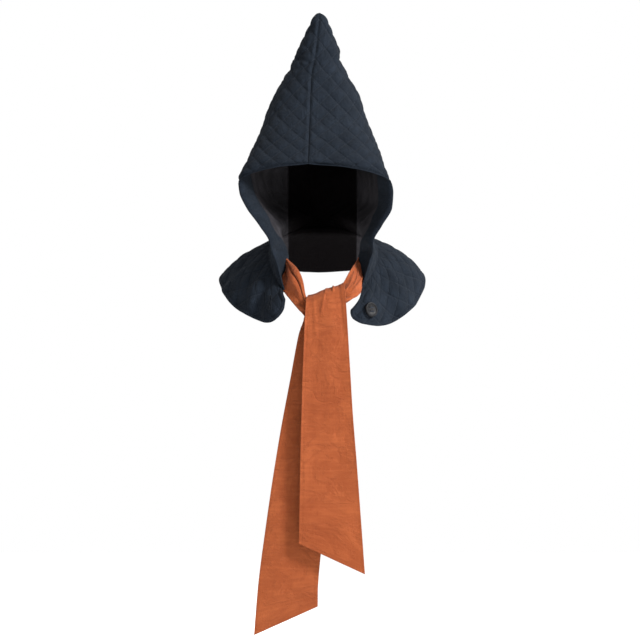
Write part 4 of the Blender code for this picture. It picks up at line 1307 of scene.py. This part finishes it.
class OBJECT_OT_hood_button(HoodOperator, bpy.types.Operator):
    """Coat button with softened edges and its thread"""

    bl_idname = "object.hood_button"
    bl_label = "Button"

    def execute(self, context):
        shine = horn("dark_horn_button", (0.0030, 0.0030, 0.0036))
        fibre = thread_fibre("navy_sewing_thread", (0.014, 0.017, 0.024))
        self.build("button", shine, "dark_horn", 0.00045)
        self.build("button_thread_upper", fibre, "navy_thread", 0.0002)
        self.build("button_thread_lower", fibre, "navy_thread", 0.0002)
        return {"FINISHED"}

    def build(self, node, finish, slot, rounding):
        """Copy of the solid with its triangles joined, its flats cleaned and its edges rounded."""
        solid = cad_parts[node]
        shape = bmesh.new()
        shape.from_mesh(solid.data)
        shape.transform(solid.matrix_world)
        bmesh.ops.remove_doubles(shape, verts=shape.verts, dist=1e-6)
        bmesh.ops.dissolve_limit(shape, angle_limit=math.radians(1), verts=shape.verts, edges=shape.edges)
        piece = finish_mesh(node + "_rounded", shape, None, finish)
        round_edges(piece, rounding, 35).harden_normals = True
        seat(piece, slot, node)


def surface_of(name):
    """Search tree of a finished piece's mesh."""
    shape = bmesh.new()
    shape.from_mesh(bpy.data.objects[name].data)
    tree = BVHTree.FromBMesh(shape)
    shape.free()
    return tree


def add_stitch(shape, middle, along, normal, length, radius):
    """One sewn stitch, a rounded bar lying on the cloth."""
    across = normal.cross(along).normalized()
    up = along.cross(across).normalized()
    made = bmesh.ops.create_uvsphere(shape, u_segments=6, v_segments=4, radius=1.0)["verts"]
    for vertex in made:
        x, y, z = vertex.co
        vertex.co = middle + across * (x * radius) + up * (y * radius) + along.normalized() * (z * length / 2)


class OBJECT_OT_hood_stitches(HoodOperator, bpy.types.Operator):
    """Topstitching beside the centre seam and the worked buttonhole"""

    bl_idname = "object.hood_stitches"
    bl_label = "Stitches"

    def execute(self, context):
        style = context.scene.hood_quilting
        self.topstitch(thread_fibre("navy_stitch_thread", toned(style.navy, 1.2)))
        self.buttonhole(thread_fibre("buttonhole_twist", toned(style.navy, 0.45)))
        return {"FINISHED"}

    def topstitch(self, fibre):
        """Row of stitches beside the centre seam, on the right panel."""
        surface = surface_of("hood_panel_right_quilt")
        shape = bmesh.new()
        places = []
        for n in range(SEAM_SAMPLES):
            key = BROW_ROW + 0.1 + (TOPSTITCH_END - BROW_ROW) * n / SEAM_SAMPLES
            long = hood_row(key, RIGHT)[1][-1]
            places.append(hood_at(key, SEAM_TOPSTITCH / long, RIGHT)[0])
        sums = cumulative(places)
        count = int(sums[-1] / SEAM_STITCH_PITCH)
        for n in range(count):
            i = int(read_off(sums, (n + 0.5) * sums[-1] / count))
            near, normal, _, _ = surface.find_nearest(places[i])
            along = places[min(i + 2, SEAM_SAMPLES - 1)] - places[max(i - 2, 0)]
            add_stitch(shape, near + normal * 0.00005, along, normal, 0.0030, 0.00034)
        seat(finish_mesh("seam_topstitching", shape, None, fibre), "navy_thread")

    def buttonhole(self, fibre):
        """Worked stitches down both lips of the slit and across its ends."""
        front = [v.co.copy() for v in bpy.data.objects["collar_quilt"].data.vertices if v.co.y < 0]
        surface = surface_of("collar_quilt")
        middle = min(front, key=lambda spot: math.hypot(spot.x - BUTTONHOLE_X, spot.z - BUTTONHOLE_Z))
        normal = surface.find_nearest(middle)[1]
        down = (BUTTONHOLE_DOWN - normal * BUTTONHOLE_DOWN.dot(normal)).normalized()
        side = normal.cross(down).normalized()
        shape = bmesh.new()
        count = 26
        for n in range(count):
            run = (n / (count - 1) - 0.5) * (BUTTONHOLE_LENGTH + 0.0012)
            for hand in (-1, 1):
                near, lie, _, _ = surface.find_nearest(middle + down * run + side * (hand * 0.0019))
                add_stitch(shape, near + lie * 0.0001, side, lie, 0.0023, 0.00046)
        for end in (-1, 1):
            for n in range(5):
                spot = middle + down * (end * (BUTTONHOLE_LENGTH / 2 + 0.0008)) + side * ((n - 2) * 0.0007)
                near, lie, _, _ = surface.find_nearest(spot)
                add_stitch(shape, near + lie * 0.0001, down, lie, 0.0022, 0.00042)
        seat(finish_mesh("buttonhole_stitches", shape, None, fibre), "navy_thread")


class OBJECT_OT_hood_stage(HoodOperator, bpy.types.Operator):
    """Floor, soft lights and camera"""

    bl_idname = "object.hood_stage"
    bl_label = "Stage"

    def execute(self, context):
        stage = context.scene.hood_stage
        shape = bmesh.new()
        bmesh.ops.create_circle(shape, cap_ends=True, segments=96, radius=FLOOR_RADIUS)
        bmesh.ops.translate(shape, verts=shape.verts, vec=(0, 0, CAD_LOW.z - stage.floor_gap))
        paint = Paint("pale_floor", 0.9)
        place = paint.solid_place()
        grain = paint.noise(place, 3.0)
        tone = paint.mix(grain, (0.95, 0.95, 0.95), (0.97, 0.97, 0.97))
        floor = finish_mesh("pale_floor", shape, None, paint.finish(tone, grain, 0.0002))
        world = bpy.data.worlds.new("studio")
        world.use_nodes = True
        sky = world.node_tree.nodes["Background"]
        sky.inputs["Color"].default_value = (1, 1, 1, 1)
        sky.inputs["Strength"].default_value = 1.0
        context.scene.world = world
        context.scene.view_settings.view_transform = "Standard"
        for name, (place, size, watts) in LAMPS.items():
            self.lamp(name, Vector(place), size, watts)
        camera = bpy.data.cameras.new("camera")
        camera.sensor_width = SENSOR_WIDTH
        camera.lens = SENSOR_WIDTH * stage.camera_distance / stage.frame_width
        seen = bpy.data.objects.new("camera", camera)
        seen.location = (CAMERA_X, CAMERA_Y - stage.camera_distance, CAMERA_Z)
        seen.rotation_euler = (math.pi / 2, 0, 0)
        context.scene.collection.objects.link(seen)
        context.scene.camera = seen
        return {"FINISHED"}

    def lamp(self, name, place, size, watts):
        """Soft square lamp that faces the hood."""
        light = bpy.data.lights.new(name, "AREA")
        light.size = size
        light.energy = watts
        lamp = bpy.data.objects.new(name, light)
        lamp.location = place
        lamp.rotation_euler = (LAMP_TARGET - place).to_track_quat("-Z", "Y").to_euler()
        bpy.context.scene.collection.objects.link(lamp)


OPERATORS = (
    OBJECT_OT_hood_stage,
    OBJECT_OT_hood_panels,
    OBJECT_OT_hood_lining,
    OBJECT_OT_hood_facing,
    OBJECT_OT_hood_collar,
    OBJECT_OT_hood_ties,
    OBJECT_OT_hood_button,
    OBJECT_OT_hood_stitches,
)


class VIEW3D_PT_hood(bpy.types.Panel):
    """Sizes, colours and pieces of the hood"""

    bl_label = "Quilted Hood"
    bl_space_type = "VIEW_3D"
    bl_region_type = "UI"
    bl_category = "Hood"

    def draw(self, context):
        for group in (context.scene.hood_quilting, context.scene.hood_ties, context.scene.hood_stage):
            box = self.layout.box()
            for name in group.bl_rna.properties.keys():
                if name not in ("rna_type", "name"):
                    box.prop(group, name)
        for operator in OPERATORS:
            self.layout.operator(operator.bl_idname)


GROUPS = {"hood_quilting": HoodQuilting, "hood_ties": HoodTies, "hood_stage": HoodStage}


def register():
    """Add the properties, operators and panel."""
    for name, group in GROUPS.items():
        bpy.utils.register_class(group)
        setattr(bpy.types.Scene, name, bpy.props.PointerProperty(type=group))
    for kind in (*OPERATORS, VIEW3D_PT_hood):
        bpy.utils.register_class(kind)


def unregister():
    """Take them away again."""
    for kind in (VIEW3D_PT_hood, *reversed(OPERATORS)):
        bpy.utils.unregister_class(kind)
    for name, group in GROUPS.items():
        delattr(bpy.types.Scene, name)
        bpy.utils.unregister_class(group)


def main():
    """Build every piece and the stage."""
    register()
    for operator in OPERATORS:
        category, name = operator.bl_idname.split(".")
        getattr(getattr(bpy.ops, category), name)()


if __name__ == "__main__":
    main()
